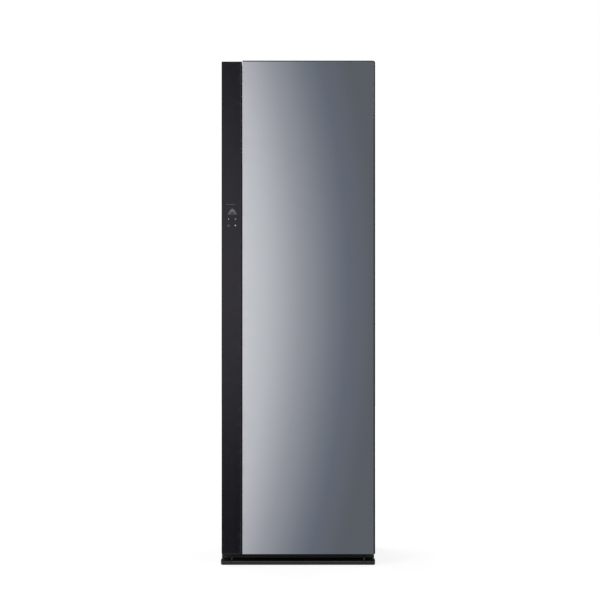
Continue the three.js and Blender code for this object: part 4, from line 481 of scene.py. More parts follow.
# %% Tools for finishes
def use_effect(tree, effect, **values):
    inputs = {label.replace("_", " "): value for label, value in values.items()}
    return put(tree, "ShaderNodeGroup", inputs=inputs, node_tree=effect).outputs


def rub(tree, base, colour, reach, amount):
    mask = use_effect(tree, rubbed, Reach=reach * MM, Amount=amount)["Mask"]
    return blend_colour(tree, mask, base, colour)


def shade(tree, shader, mask, first, second):
    tree.links.new(blend_colour(tree, mask, first, second), shader.inputs["Base Color"])


def gloss(tree, shader, mask, low, high):
    tree.links.new(span(tree, mask, 0.0, 1.0, low, high), shader.inputs["Roughness"])


def relief(tree, shader, height, depth):
    bump = put(tree, "ShaderNodeBump", inputs={"Height": height, "Distance": depth * MM})
    tree.links.new(bump.outputs[0], shader.inputs["Normal"])


def tones(colour, spread):
    return [tuple(min(part * share, 1) for part in colour) for share in (1 - spread, 1 + spread)]


# %% [markdown]
# ### Glass
#
# The door's glass is silvered and tinted, so it is a metal to the shader, with a grey-blue colour
# that gives back half the light and hardly any roughness. The control column's glass is clear over
# black ink: a black surface with a glass gloss. Its rim is ground, so a narrow band along its edges
# is dull. Both panes carry a few wiped smears that show in their reflections.

# %% Mirror and black glass
tree, shader = new_finish("mirror_glass", (0.48, 0.495, 0.515), 0.03, 1.0)
smears = use_effect(tree, touched, Size=16.0, Amount=0.6)
gloss(tree, shader, smears["Mask"], 0.02, 0.05)
shade(tree, shader, smears["Mask"], (0.483, 0.498, 0.518), (0.474, 0.489, 0.51))

tree, shader = new_finish("black_glass", (0.005, 0.0055, 0.0075), 0.03, IOR=1.56,
                          Specular_Tint=(0.94, 0.87, 1.0, 1.0))
smears = use_effect(tree, touched, Size=30.0, Amount=0.8)
gloss(tree, shader, smears["Mask"], 0.015, 0.045)
shade(tree, shader, smears["Mask"], (0.0045, 0.005, 0.007), (0.0065, 0.007, 0.009))

RIM_COLOUR = (0.003, 0.0032, 0.004)
tree, shader = new_finish("ground_rim", RIM_COLOUR, 0.5, IOR=1.52, Specular_IOR_Level=0.2)
ground = use_effect(tree, moulded, Grain=3000.0)
shade(tree, shader, ground["Tone"], *tones(RIM_COLOUR, 0.2))
gloss(tree, shader, ground["Height"], 0.42, 0.6)
relief(tree, shader, ground["Height"], 0.02)

# %% [markdown]
# ### Painted steel
#
# The shell is a dark powder-painted sheet, and the compressor's can has a glossier black. Both get
# the ripple, the flecks, paler rubbed edges and a film of dust on top.

# %% Paints
def painted_steel(name, colour, roughness, dust):
    tree, shader = new_finish(name, colour, roughness)
    skin = use_effect(tree, painted)
    base = blend_colour(tree, skin["Tone"], *tones(colour, 0.2))
    base = blend_colour(tree, product(tree, skin["Fleck"], 0.12), base, tones(colour, 1.2)[1])
    base = rub(tree, base, (0.2, 0.2, 0.205), 1.2, 0.5)
    cover = use_effect(tree, dusty, Amount=dust)["Mask"]
    shade(tree, shader, cover, base, (0.2, 0.195, 0.19))
    dull = maths(tree, "ADD", product(tree, skin["Tone"], 0.3), cover, clamp=True)
    gloss(tree, shader, dull, roughness - 0.05, roughness + 0.3)
    relief(tree, shader, skin["Height"], 0.06)


painted_steel("dark_paint", (0.026, 0.0265, 0.029), 0.36, 0.22)
painted_steel("compressor_black", (0.01, 0.01, 0.011), 0.28, 0.3)

# %% [markdown]
# ### Drawn and brushed metals
#
# The door's caps and the plinth are dark grey anodised aluminium. The profile at its hinge side and
# the grip are a darker, nearly black batch. The bar and the boiler are brushed stainless steel, and
# the coils are bare aluminium. They differ in colour, gloss and the way their lines run.

# %% Metals
def drawn_metal(name, colour, roughness, along, dust=0.0):
    tree, shader = new_finish(name, colour, roughness, 1.0)
    lines = use_effect(tree, drawn, Along_X=along[0], Along_Y=along[1], Along_Z=along[2])
    base = blend_colour(tree, lines["Tone"], *tones(colour, 0.25))
    base = rub(tree, base, tones(colour, 0.6)[1], 1.0, 0.4)
    shade(tree, shader, use_effect(tree, dusty, Amount=dust)["Mask"], base, (0.3, 0.29, 0.28))
    gloss(tree, shader, lines["Tone"], roughness - 0.08, roughness + 0.1)
    relief(tree, shader, lines["Height"], 0.03)


drawn_metal("dark_trim", (0.07, 0.072, 0.078), 0.36, (5, 700, 700), dust=0.05)
drawn_metal("black_trim", (0.017, 0.0173, 0.0188), 0.38, (700, 700, 5))
drawn_metal("stainless", (0.56, 0.555, 0.545), 0.26, (5, 800, 800))
drawn_metal("coil_aluminium", (0.62, 0.63, 0.65), 0.32, (800, 6, 6), dust=0.1)

# %% [markdown]
# ### Zinc-coated steel
#
# Hot-dipped zinc freezes in flat crystals, a centimetre or so across. Each mirrors a little more or
# less of the room, so neighbours differ in brightness and gloss, and the borders hardly show.

# %% Zinc
ZINC, ZINC_PALE = (0.42, 0.43, 0.445), (0.455, 0.465, 0.475)
tree, shader = new_finish("zinc_steel", ZINC, 0.4, 1.0)
crystals = put(tree, "ShaderNodeTexVoronoi", place_of(tree),
               inputs={"Scale": 85.0, "Randomness": 0.9})
crystal = put(tree, "ShaderNodeSeparateColor", crystals.outputs["Color"])
rolled = use_effect(tree, drawn, Along_X=40.0, Along_Y=40.0, Along_Z=3.0)
base = blend_colour(tree, crystal.outputs[0], ZINC, ZINC_PALE)
tree.links.new(rub(tree, base, (0.62, 0.62, 0.63), 1.0, 0.5), shader.inputs["Base Color"])
gloss(tree, shader, crystal.outputs[1], 0.36, 0.43)
relief(tree, shader, rolled["Height"], 0.02)

# %% [markdown]
# ### Plastics and rubber
#
# Most of the inside is moulded plastic. The recipe is the same for each: a grain of its own size, a
# cloudy tone, edges rubbed a little paler and a touch of dust. One function makes them all from a
# table: colour, roughness, grain cells to a metre, depth in mm, rubbed tone, and then dust and
# mirroring where they aren't the usual. Rubber has more grain and little gloss. The plinth's upper
# faces get a painted shade, a matt black that mirrors next to nothing, for the door's shadow on
# them.

# %% Moulded plastics
def moulded_plastic(name, colour, roughness, grain, depth, rub_tone, dust=0.12, mirrored=0.5):
    tree, shader = new_finish(name, colour, roughness, Specular_IOR_Level=mirrored)
    skin = use_effect(tree, moulded, Grain=grain)
    base = blend_colour(tree, skin["Tone"], *tones(colour, 0.12))
    base = rub(tree, base, rub_tone, 1.2, 0.45)
    shade(tree, shader, use_effect(tree, dusty, Amount=dust)["Mask"], base, (0.26, 0.255, 0.245))
    gloss(tree, shader, skin["Tone"], roughness - 0.06, roughness + 0.08)
    relief(tree, shader, skin["Height"], depth)


PLASTICS = {
    "black_plastic": ((0.0115, 0.0115, 0.0125), 0.45, 1500, 0.06, (0.05, 0.05, 0.052), 0.05),
    "frame_plastic": ((0.019, 0.0188, 0.0185), 0.45, 1300, 0.06, (0.06, 0.06, 0.058)),
    # painted shade for the plinth's upper faces, which lie in the door's shadow
    "matt_black": ((0.0022, 0.0022, 0.0024), 0.8, 1500, 0.06, (0.004, 0.004, 0.004), 0.01, 0.06),
    "liner_plastic": ((0.105, 0.101, 0.098), 0.33, 900, 0.04, (0.2, 0.195, 0.19)),
    "grey_plastic": ((0.23, 0.232, 0.235), 0.44, 1500, 0.05, (0.34, 0.34, 0.34)),
    "core_foam": ((0.72, 0.66, 0.46), 0.85, 500, 0.3, (0.75, 0.7, 0.52)),
    "seal_rubber": ((0.02, 0.02, 0.021), 0.6, 2200, 0.07, (0.045, 0.045, 0.045)),
    "foot_rubber": ((0.012, 0.012, 0.012), 0.7, 1800, 0.1, (0.04, 0.04, 0.04)),
}
for name, recipe in PLASTICS.items():
    moulded_plastic(name, *recipe)
print(len(PLASTICS), "moulded finishes")

# %% [markdown]
# ### Tanks, lamp and board
#
# The water tanks are smoked and half clear, so light passes through their walls but is spread a
# little. The lamp's lens is a milky cover with the lamp lit behind it. The circuit board is green
# resist with paler copper runs under it, drawn by a brick pattern's joints.

# %% Tank plastic, lamp lens and circuit board
tree, shader = new_finish("tank_plastic", (0.5, 0.56, 0.6), 0.16, IOR=1.49,
                          Transmission_Weight=0.72)
skin = use_effect(tree, moulded, Grain=420.0, Cloud=18.0)
shade(tree, shader, skin["Tone"], (0.42, 0.48, 0.52), (0.55, 0.6, 0.63))
gloss(tree, shader, skin["Tone"], 0.1, 0.26)
relief(tree, shader, skin["Height"], 0.05)

tree, shader = new_finish("lamp_lens", (0.86, 0.84, 0.78), 0.35, Emission_Strength=2.5)
skin = use_effect(tree, moulded, Grain=300.0)
shade(tree, shader, skin["Tone"], (0.84, 0.82, 0.76), (0.92, 0.9, 0.85))
shader.inputs["Emission Color"].default_value = (1, 0.95, 0.85, 1)
relief(tree, shader, skin["Height"], 0.3)

RESIST, RESIST_DARK, COPPER = (0.02, 0.12, 0.05), (0.018, 0.1, 0.045), (0.05, 0.22, 0.09)
tree, shader = new_finish("circuit_board", RESIST, 0.35)
laid_flat = put(tree, "ShaderNodeMapping", place_of(tree),
                inputs={"Rotation": (math.radians(90), 0, 0)})
runs = put(tree, "ShaderNodeTexBrick", laid_flat.outputs[0], inputs={
    "Scale": 90.0, "Mortar Size": 0.05, "Color1": (*RESIST, 1), "Color2": (*RESIST_DARK, 1),
    "Mortar": (*COPPER, 1)})
tree.links.new(runs.outputs["Color"], shader.inputs["Base Color"])
relief(tree, shader, runs.outputs["Fac"], 0.04)

# %% [markdown]
# ## Lit marks on the black glass
#
# The controls are touch fields under the glass, lit from behind, so the marks are nearly flush.
# Each is a thin ribbon along a few points. The signs are common ones: a hanger, start, a clock, a
# diamond and the power sign. A row of small dots shows the programme's stage.

# %% Finishes of the lit marks
for name, level in (("lit_mark", 0.6), ("lit_mark_dim", 0.13)):
    tree, shader = new_finish(name, (0.05, 0.05, 0.052), 0.25, Emission_Strength=1.0)
    glow = [tuple(level * share * part for part in (0.97, 0.94, 1.0)) for share in (0.8, 1.15)]
    uneven = blend_colour(tree, noise(tree, 260.0, 2.0), *glow)
    tree.links.new(uneven, shader.inputs["Emission Color"])

# %% [markdown]
# ### Ribbons
#
# A ribbon is a flat band that follows points in the plane of the glass. At each point it is mitred,
# so that corners stay sharp. All the ribbons of one brightness become one mesh.

# %% Ribbons along points
MARK_LIFT = 0.04 * MM
LEAST_MITRE = 0.5
ARC_STEPS = 20
glass_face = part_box("control_glass")[0].y - MARK_LIFT


def ribbon(build, centre, width, points, closed=False):
    """Adds a band to a mesh that is being built. Points and width are in mm, centre in metres."""
    path = [Vector(point) for point in points]
    pairs = []
    for i, here in enumerate(path):
        before = path[i - 1] if i or closed else here
        after = path[(i + 1) % len(path)] if i < len(path) - 1 or closed else here
        along = [run.normalized() for run in (here - before, after - here) if run.length]
        middle = sum(along, Vector((0, 0))).normalized()
        across = Vector((-middle.y, middle.x)) * width / 2 / max(middle.dot(along[0]), LEAST_MITRE)
        pairs.append([build.verts.new((centre[0] + at.x * MM, glass_face, centre[1] + at.y * MM))
                      for at in (here + across, here - across)])
    for i in range(len(pairs) if closed else len(pairs) - 1):
        (a, b), (c, d) = pairs[i], pairs[(i + 1) % len(pairs)]
        build.faces.new((b, d, c, a))


def arc(radius, start, end, rise=0.0):
    turns = [math.radians(start + (end - start) * i / ARC_STEPS) for i in range(ARC_STEPS + 1)]
    return [(radius * math.cos(turn), rise + radius * math.sin(turn)) for turn in turns]


def draw_marks(name, drawings, finish):
    build = bmesh.new()
    for drawing in drawings:
        ribbon(build, *drawing)
    return show(name, mesh_from(build, name, finishes[finish]))


# %% [markdown]
# ### The signs
#
# The garment sign is a hanger with two more shoulder lines above it, for clothes that hang one
# behind another. Below it stand four touch fields in a square. The two at the left are for start
# and for drying, the two at the right for the delay and for power.

# %% Draw the signs
HANGER_AT = (-0.2561, 1.3742)
START_AT, DELAY_AT = (-0.271, 1.3453), (-0.2441, 1.3453)
DRYING_AT, POWER_AT = (-0.271, 1.3196), (-0.2441, 1.3206)
bright_marks = draw_marks("lit_signs", [
    (START_AT, 0.7, [(-1.3, -2.1), (1.8, 0), (-1.3, 2.1)], True),
    (DELAY_AT, 0.5, arc(2.0, 0, 342), True),
    (DELAY_AT, 0.5, [(0, 1.3), (0, 0), (1.0, -0.6)]),
    (POWER_AT, 1.5, arc(1.7, 130, 410)),
    (POWER_AT, 1.2, [(0, 0.3), (0, 3.0)]),
], "lit_mark")
dim_marks = draw_marks("dim_signs", [
    (HANGER_AT, 2.8, [(-16.5, -9), (0, 0.8), (16.5, -9)], True),
    (HANGER_AT, 2.6, [(-14, -2.2), (0, 6.0), (14, -2.2)]),
    (HANGER_AT, 2.4, [(-9, 4.8), (0, 10.2), (9, 4.8)]),
    (HANGER_AT, 0.8, [(0, 10.8), *arc(1.3, -90, 150, rise=12.8)]),
    (DRYING_AT, 1.2, [(-4, 0), (0, -4), (4, 0), (0, 4)], True),
], "lit_mark_dim")
for piece in (bright_marks, dim_marks):
    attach(piece, "cabinet")
    print(piece.name, len(piece.data.polygons), "faces")

# %% [markdown]
# ## A tree for what repeats
#
# Small things in rows are a job for Geometry Nodes: one dot, screw or wire is made once and placed
# on points. `new_shape` starts a tree with named sizes, `row_of` makes a row of points, `repeat`
# places a shape on points, `block` is a box, `lifted` and `tipped` move a shape up or turn it about
# X, and `joined` puts shapes together. `grow` puts the tree on an object and settles it, so that
# only ordinary geometry is left.

# %% Tools for shape trees
def new_shape(name, sizes):
    shape = bpy.data.node_groups.new(name, "GeometryNodeTree")
    for way in ("INPUT", "OUTPUT"):
        shape.interface.new_socket(name="Geometry", in_out=way, socket_type="NodeSocketGeometry")
    for label, value in sizes.items():
        kind = "NodeSocketInt" if isinstance(value, int) else "NodeSocketFloat"
        socket = shape.interface.new_socket(name=label, in_out="INPUT", socket_type=kind)
        socket.default_value = value
    return shape, shape.nodes.new("NodeGroupInput").outputs


def row_of(tree, count, offset, start=None):
    return put(tree, "GeometryNodeMeshLine", inputs={
        "Count": count, "Offset": offset, "Start Location": start}).outputs[0]


def repeat(tree, points, shape, rotation=None):
    return put(tree, "GeometryNodeInstanceOnPoints", points, inputs={
        "Instance": shape, "Rotation": rotation}).outputs[0]


def block(tree, *sides):
    return put(tree, "GeometryNodeMeshCube", combine(tree, *sides)).outputs[0]


def joined(tree, *shapes):
    node = put(tree, "GeometryNodeJoinGeometry")
    for shape in shapes:
        tree.links.new(shape, node.inputs[0])
    return node.outputs[0]


def lifted(tree, shape, height):
    return put(tree, "GeometryNodeTransform", shape, inputs={
        "Translation": combine(tree, None, None, height)}).outputs[0]


def tipped(tree, shape, degrees):
    return put(tree, "GeometryNodeTransform", shape, inputs={
        "Rotation": (math.radians(degrees), 0, 0)}).outputs[0]


def end_shape(shape, geometry, finish):
    """Ends a tree: instances are realized, and the result gets its finish."""
    real = put(shape, "GeometryNodeRealizeInstances", geometry)
    coated = put(shape, "GeometryNodeSetMaterial", real.outputs[0],
                 inputs={"Material": finishes[finish]})
    put(shape, "NodeGroupOutput", coated.outputs[0])


def grow(name, shape, mesh=None, **sizes):
    piece = show(name, mesh or bpy.data.meshes.new(name))
    modifier = piece.modifiers.new("shape", "NODES")
    modifier.node_group = shape
    for item in shape.interface.items_tree:
        label = item.name.replace(" ", "_")
        if item.in_out == "INPUT" and label in sizes:
            modifier[item.identifier] = sizes[label]
    settle(piece)
    print(name, len(piece.data.polygons), "faces")
    return piece


def moved_to(piece, place):
    for point in piece.data.vertices:
        point.co += Vector(place)
    return piece


# %% The row of dots
DOTS_AT = (-0.2761, 1.4024)
dots, given = new_shape("dot_row", {"Count": 4, "Pitch": 9.2 * MM, "Radius": 0.9 * MM})
line = row_of(dots, given["Count"], combine(dots, given["Pitch"]))
disc = put(dots, "GeometryNodeMeshCircle", fill_type="NGON",
           inputs={"Vertices": 12, "Radius": given["Radius"]})
end_shape(dots, repeat(dots, line, tipped(dots, disc.outputs[0], 90)), "lit_mark")
stage_dots = moved_to(grow("stage_dots", dots), (DOTS_AT[0], glass_face, DOTS_AT[1]))
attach(stage_dots, "cabinet")

# %% [markdown]
# ## Rounded edges
#
# A solid model has edges as sharp as a razor, and nothing real has: paint, folding and moulding all
# leave a radius that catches a line of light. `round_off` copies a node's mesh, welds it, joins its
# flat triangles to whole faces and bevels their edges. Normals weighted by area keep the large
# faces flat, which a mirror needs above all. The copy then stands for the node. Two rules can give
# some faces a second finish: `front_rim` cuts a pane's front four times and takes the narrow band
# along its border, and `tops` takes the faces that look up, which on the plinth get a painted
# shade.

# %% The rounding tool
BODIES = frame["record"]["behaviour"]["bodies"]
BODY_OF = {node: body for body, nodes in BODIES.items() for node in nodes}
SLOT_OF = {part["node"]: part["material_slot"] for part in frame["record"]["subparts"]}
OTHER_FINISH = {"door_side_trim": "black_trim", "door_handle_rail": "black_trim"}
WELD, CUT_WELD = 0.02 * MM, 0.0001 * MM
FLAT, SHARP = math.radians(0.6), math.radians(28)
FRONTWARD, UPWARD = -0.99, 0.9
RIM = 2.2 * MM


def front_rim(build):
    front = max(build.faces, key=lambda face: face.calc_area() * (face.normal.y < FRONTWARD))
    faces = [front]
    for axis, pick, inwards in ((0, min, RIM), (0, max, -RIM), (2, min, RIM), (2, max, -RIM)):
        corners = (point.co for face in faces for point in face.verts)
        cut = pick(corners, key=lambda co: co[axis]).copy()
        cut[axis] += inwards
        parts = {part for face in faces for part in (face, *face.edges, *face.verts)}
        made = bmesh.ops.bisect_plane(build, geom=list(parts), dist=CUT_WELD, plane_co=cut,
                                      plane_no=Vector((axis == 0, 0, axis == 2)))
        faces = [part for part in made["geom"] if isinstance(part, bmesh.types.BMFace)]
    middle = max(faces, key=lambda face: face.calc_area())
    return [face for face in faces if face is not middle]


def tops(build):
    return [face for face in build.faces if face.normal.z > UPWARD]


def round_off(node, radius, second=None):
    build = bmesh.new()
    build.from_mesh(frame["nodes"][node].data)
    bmesh.ops.remove_doubles(build, verts=build.verts, dist=WELD)
    bmesh.ops.dissolve_limit(build, angle_limit=FLAT, verts=build.verts, edges=build.edges)
    names = [OTHER_FINISH.get(node, SLOT_OF[node])]
    if second:
        names.append(second[0])
        for face in second[1](build):
            face.material_index = 1
    mesh = mesh_from(build, f"{node}_rounded", *(finishes[name] for name in names))
    mesh.shade_smooth()
    piece = show(mesh.name, mesh)
    bevel = piece.modifiers.new("rounding", "BEVEL")
    bevel.width, bevel.segments = radius * MM, 2
    bevel.limit_method, bevel.angle_limit = "ANGLE", SHARP
    weights = piece.modifiers.new("flat_faces", "WEIGHTED_NORMAL")
    weights.mode, weights.weight = "FACE_AREA", 100
    settle(piece)
    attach(piece, BODY_OF[node])
    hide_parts(node)
    return piece


# %% [markdown]
# ### How round is each piece?
#
# The radius, in millimetres, follows the way a piece is made: a third for a ground pane, its own
# thickness for a folded sheet, a half for a drawn profile, and more than one for a large moulded
# shell, because plastic wouldn't fill a sharper tool.

# %% Round every piece that shows
ROUNDED = {
    "door_glass": 0.3, "control_glass": 0.4,
    "side_panel_left": 0.9, "side_panel_right": 0.9, "top_panel": 0.9, "rear_panel_upper": 0.5,
    "rear_panel_lower": 0.4, "base_frame": 0.4, "hinge_plate_upper": 0.5, "hinge_plate_lower": 0.3,
    "door_handle_rail": 0.5, "door_side_trim": 0.5, "door_cap_top": 0.6, "door_cap_bottom": 0.5,
    "plinth_strip": 0.4, "foot_cover_left": 0.6, "foot_cover_right": 0.6, "hinge_cover": 0.8,
    "control_column": 0.6, "front_frame": 0.6, "mains_gland": 0.5, "tank_fascia": 0.8,
    "inner_liner": 1.2, "door_inner_panel": 1.6, "press_board": 0.8, "press_leaf": 0.6,
    "chamber_lamp": 0.8, "air_outlet": 0.5, "steam_nozzle": 0.4, "garment_shelf": 0.8,
    "lint_filter": 0.6, "scent_case": 0.6, "hanger_bar": 0.4, "slider_beam": 0.5,
    "garment_hanger_1": 1.6, "garment_hanger_2": 1.6, "garment_hanger_3": 1.6,
    "supply_tank": 0.8, "drain_tank": 0.8, "supply_tank_lid": 0.6, "drain_tank_lid": 0.6,
    "front_foot_left": 0.5, "front_foot_right": 0.5, "rear_foot_left": 0.5, "rear_foot_right": 0.5,
}
SECOND_FINISH = {"control_glass": ("ground_rim", front_rim)}
# The plinth's upper faces get a painted shade, matt black, for the door's shadow on them.
for node in ("plinth_strip", "foot_cover_left", "foot_cover_right"):
    SECOND_FINISH[node] = ("matt_black", tops)
rounded = [round_off(node, radius, SECOND_FINISH.get(node)) for node, radius in ROUNDED.items()]
print(len(rounded), "pieces rounded,", sum(len(p.data.polygons) for p in rounded), "faces")

# %% [markdown]
# ## Pieces that stay as they are
#
# The machinery sits behind panels. Its solids are kept, and each gets the finish of its own
# material slot.

# %% Finish the kept solids
for node, solid in frame["nodes"].items():
    if node not in ROUNDED:
        solid.data.materials.clear()
        solid.data.materials.append(finishes[SLOT_OF[node]])
print(len(frame["nodes"]) - len(ROUNDED), "solids kept")

# %% [markdown]
# ## The column's end plate
#
# The control column is a channel with a pane on it. A thin anodised plate closes its lower end and
# covers the pane's ground edge, and it shows in the picture as a fine pale line. It starts as a
# block whose upright edges are rounded first, and then every sharp rim that is left.

# %% Close the column's lower end
PLATE_THICKNESS = 2.8 * MM
PLATE_CORNER = 1.6 * MM
PLATE_RIM, RIM_ANGLE = 0.3 * MM, math.radians(60)
PLATE_GAP = 0.1 * MM
INSET, INSET_BEHIND = 0.2 * MM, 0.5 * MM

pane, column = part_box("control_glass"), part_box("control_column")
plate_top = pane[0].z - PLATE_GAP
plate_low = Vector((pane[0].x + INSET, pane[0].y + INSET, plate_top - PLATE_THICKNESS))
plate_high = Vector((pane[1].x - INSET, column[1].y - INSET_BEHIND, plate_top))
build = bmesh.new()
bmesh.ops.create_cube(build, size=1)
for point in build.verts:
    share = point.co + Vector((0.5, 0.5, 0.5))
    point.co = plate_low + share * (plate_high - plate_low)
upright = [edge for edge in build.edges if edge.verts[0].co.z != edge.verts[1].co.z]
bmesh.ops.bevel(build, geom=upright, offset=PLATE_CORNER, segments=4, profile=0.5, affect="EDGES")
rims = [edge for edge in build.edges if edge.calc_face_angle() > RIM_ANGLE]
bmesh.ops.bevel(build, geom=rims, offset=PLATE_RIM, segments=2, profile=0.5, affect="EDGES")
end_plate = show("column_end_plate", mesh_from(build, "column_end_plate", finishes["dark_trim"]))
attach(end_plate, "cabinet")
print("The end plate has", len(end_plate.data.polygons), "faces")

# %% [markdown]
# ## Screws
#
# Sheet panels are held by pan head screws. One head is a short cylinder and a cone on top with a
# cross cut out of it, set on every point of a small mesh. Each point carries the direction that its
# screw faces, and a seeded random turn keeps the crosses from lining up.

# %% The screw tree
SIDES = 20
CROWN_SHARE = 0.72
CROSS_SHARES = (1.15, 0.24)
screws, given = new_shape("screw_heads", {"Radius": 3.6 * MM, "Height": 1.5 * MM, "Seed": 4})
half = product(screws, given["Height"], 0.5)
rim = put(screws, "GeometryNodeMeshCylinder", inputs={
    "Vertices": SIDES, "Radius": given["Radius"], "Depth": half})
low = lifted(screws, rim.outputs[0], product(screws, half, 0.5))
crown = put(screws, "GeometryNodeMeshCone", inputs={
    "Vertices": SIDES, "Radius Top": product(screws, given["Radius"], CROWN_SHARE),
    "Radius Bottom": given["Radius"], "Depth": half})
high = lifted(screws, crown.outputs[0], half)
long_side, short_side = [product(screws, given["Radius"], share) for share in CROSS_SHARES]
cross = joined(screws, *(block(screws, *pair, given["Height"])
                         for pair in ((long_side, short_side), (short_side, long_side))))
head = put(screws, "GeometryNodeMeshBoolean", high, lifted(screws, cross, given["Height"]),
           operation="DIFFERENCE", solver="EXACT")
whole = joined(screws, head.outputs[0], low)
facing = put(screws, "GeometryNodeInputNamedAttribute", "facing", data_type="FLOAT_VECTOR")
aim = put(screws, "FunctionNodeAlignRotationToVector", axis="Z",
          inputs={"Vector": facing.outputs[0]})
chance = put(screws, "FunctionNodeRandomValue", data_type="FLOAT",
             inputs={2: 0.0, 3: math.pi, "Seed": given["Seed"]})
spin = put(screws, "FunctionNodeAxisAngleToRotation", (0, 0, 1), chance.outputs[1])
set_at = put(screws, "FunctionNodeRotateRotation", aim.outputs[0], spin.outputs[0],
             rotation_space="LOCAL")
end_shape(screws, repeat(screws, given["Geometry"], whole, set_at.outputs[0]), "zinc_steel")


# %% Set the screws
def screw_points(name, places):
    """Places are (x, y, z in mm, facing)."""
    mesh = bpy.data.meshes.new(name)
    mesh.from_pydata([Vector(place[:3]) * MM for place in places], [], [])
    mesh.attributes.new("facing", "FLOAT_VECTOR", "POINT").data.foreach_set(
        "vector", [part for place in places for part in place[3]])
    return mesh


BACK, UP, FRONT = (0, 1, 0), (0, 0, 1), (0, -1, 0)
REAR_FACE, TOP_FACE, FASCIA_FACE = 306.3, 1950, -238
rear_screws = [(x, REAR_FACE, z, BACK) for x in (-290, 290)
               for z in (32, 160, 300, 440, 496, 780, 1066, 1350, 1636, 1920)]
rear_screws += [(x, REAR_FACE, z, BACK) for x in (-150, 0, 150) for z in (32, 455, 481, 1934)]
top_screws = [(x, 296, TOP_FACE, UP) for x in (-260, 0, 260)]
fascia_screws = [(x, FASCIA_FACE, z, FRONT) for x in (-180, 246) for z in (84, 414)]
case_points = screw_points("case_screws", rear_screws + top_screws + fascia_screws)
case_screws = grow("case_screws", screws, case_points)
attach(case_screws, "cabinet")

# %% [markdown]
# ## The lint filter's mesh
#
# The cassette's windows hold a woven wire cloth. Two rows of thin straight wires crossing each
# other read as a weave at this size and cost twelve triangles a wire. The tree takes the cloth's
# width and height and the pitch between wires, and fills the area.

# %% The wire cloth tree
cloth, given = new_shape("wire_cloth", {
    "Width": 0.2, "Height": 0.1, "Pitch": 1.7 * MM, "Wire": 0.35 * MM})
layers = []
for along, across in (("Width", "Height"), ("Height", "Width")):
    count = maths(cloth, "FLOOR", maths(cloth, "DIVIDE", given[across], given["Pitch"]))
    offset = (None, None, given["Pitch"])
    start = (product(cloth, given[along], 0.5), None, product(cloth, given["Pitch"], 0.5))
    sides = (given[along], given["Wire"], given["Wire"])
    if along == "Height":
        offset, start, sides = offset[::-1], start[::-1], sides[::-1]
    row = row_of(cloth, count, combine(cloth, *offset), combine(cloth, *start))
    layers.append(repeat(cloth, row, block(cloth, *sides)))
end_shape(cloth, joined(cloth, *layers), "stainless")

# %% Fit the wire cloth to the cassette
CASSETTE_WALL, CASSETTE_RIM = 3 * MM, 6 * MM
WINDOW_HEIGHT = 100 * MM
low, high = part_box("lint_filter")
width = high.x - low.x - 2 * CASSETTE_RIM - 2 * CASSETTE_WALL
for side, depth in (("front", low.y + CASSETTE_RIM + CASSETTE_WALL / 2),
                    ("back", high.y - CASSETTE_RIM - CASSETTE_WALL / 2)):
    panel = grow(f"filter_cloth_{side}", cloth, Width=width, Height=WINDOW_HEIGHT)
    moved_to(panel, (low.x + CASSETTE_RIM + CASSETTE_WALL, depth, low.z + CASSETTE_WALL))
    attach(panel, "filter")

# %% [markdown]
# ## The door's magnetic seal
#
# A cabinet's seal is a soft profile run round the door: a foot in a groove, a bellows, and a tube
# with a magnet strip. So it is a rounded rectangle swept with a profile, of which only one half is
# listed. The tree takes the rectangle's size and corner radius, and the profile's width and depth,
# of which the profile's points are shares.

# %% The seal tree
seal, given = new_shape("swept_seal", {
    "Width": 0.47, "Height": 1.87, "Corner": 12 * MM, "Seal Width": 12 * MM, "Seal Depth": 7 * MM})
frame_line = put(seal, "GeometryNodeCurvePrimitiveQuadrilateral", given["Width"], given["Height"])
corners = put(seal, "GeometryNodeFilletCurve", frame_line.outputs[0], mode="POLY",
              inputs={"Count": 8, "Radius": given["Corner"]})
HALF_PROFILE = ((-0.5, 0.0), (-0.5, 0.16), (-0.34, 0.24), (-0.46, 0.4), (-0.3, 0.52),
                (-0.42, 0.68), (-0.36, 0.94), (-0.26, 1.0))
PROFILE_SHARES = HALF_PROFILE + tuple((-x, y) for x, y in reversed(HALF_PROFILE))
outline = put(seal, "GeometryNodeCurvePrimitiveCircle", mode="RADIUS",
              inputs={"Resolution": len(PROFILE_SHARES)})
number = put(seal, "GeometryNodeInputIndex").outputs[0]
point = []
for size, shares in zip(("Seal Width", "Seal Depth"), zip(*PROFILE_SHARES)):
    switch = put(seal, "GeometryNodeIndexSwitch", data_type="FLOAT")
    while len(switch.index_switch_items) < len(shares):
        switch.index_switch_items.new()
    seal.links.new(number, switch.inputs["Index"])
    for i, share in enumerate(shares):
        switch.inputs[i + 1].default_value = share
    point.append(product(seal, switch.outputs[0], given[size]))
section = put(seal, "GeometryNodeSetPosition", outline.outputs[0],
              inputs={"Position": combine(seal, *point)})
swept = put(seal, "GeometryNodeCurveToMesh", corners.outputs[0], section.outputs[0])
end_shape(seal, tipped(seal, swept.outputs[0], -90), "seal_rubber")

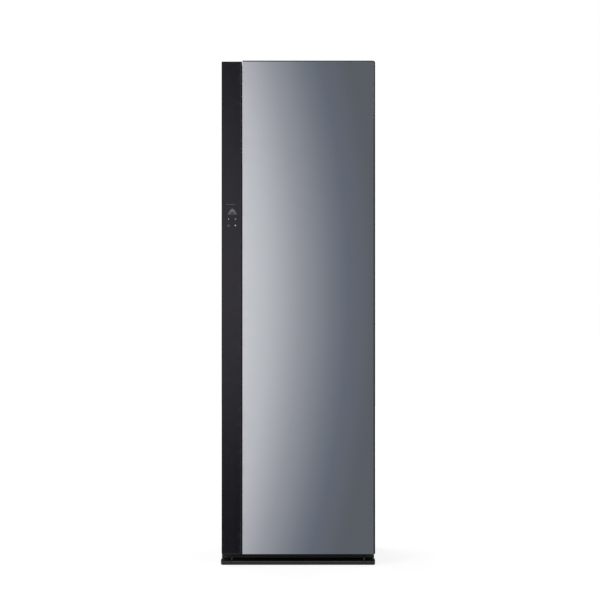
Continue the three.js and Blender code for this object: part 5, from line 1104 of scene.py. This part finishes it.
# %% Fit the seal to the door
SEAL_WIDTH = 14 * MM
low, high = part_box("door_seal")
door_seal = grow("magnetic_seal", seal, Seal_Width=SEAL_WIDTH, Seal_Depth=high.y - low.y,
                 Width=high.x - low.x - SEAL_WIDTH, Height=high.z - low.z - SEAL_WIDTH)
nearest = min(point.co.y for point in door_seal.data.vertices)
moved_to(door_seal, ((low.x + high.x) / 2, low.y - nearest, (low.z + high.z) / 2))
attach(door_seal, "door")
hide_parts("door_seal")

# %% [markdown]
# ## Level lines on the tanks
#
# Each tank has a short scale moulded in its front: a few ticks, one of them longer for the highest
# level. A tick is a thin bar, and a tree repeats it upwards.

# %% The scale tree
TICK_DEPTH, TICK_HEIGHT = 0.3 * MM, 0.9 * MM
scale_marks, given = new_shape("level_scale", {"Count": 5, "Pitch": 22 * MM, "Length": 9 * MM})
rungs = row_of(scale_marks, given["Count"], combine(scale_marks, None, None, given["Pitch"]))
tick = block(scale_marks, given["Length"], TICK_DEPTH, TICK_HEIGHT)
end_shape(scale_marks, repeat(scale_marks, rungs, tick), "grey_plastic")

# %% Fit the scales
PROUD = 0.1 * MM
SCALE_INSET, SCALE_FOOT = 20 * MM, 30 * MM
FULL_LENGTH, FULL_INSET, FULL_LEVEL = 16 * MM, 23.5 * MM, 140 * MM
for tank, body in (("supply_tank", "supply"), ("drain_tank", "drain")):
    low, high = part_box(tank)
    ladder = grow(f"{tank}_scale", scale_marks)
    moved_to(ladder, (high.x - SCALE_INSET, low.y - PROUD, low.z + SCALE_FOOT))
    longest = grow(f"{tank}_full_line", scale_marks, Count=1, Length=FULL_LENGTH)
    moved_to(longest, (high.x - FULL_INSET, low.y - PROUD, low.z + FULL_LEVEL))
    for piece in (ladder, longest):
        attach(piece, body)

# %% [markdown]
# ## Finish
#
# The dressed cabinet should stay as large as its solids. Its size is printed here, beside theirs
# from the start.

# %% Measure the dressed cabinet and finish
dressed_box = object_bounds()
dressed_sides = dressed_box[1] - dressed_box[0]
print("Dressed, it measures", [round(side / MM, 1) for side in dressed_sides], "mm")
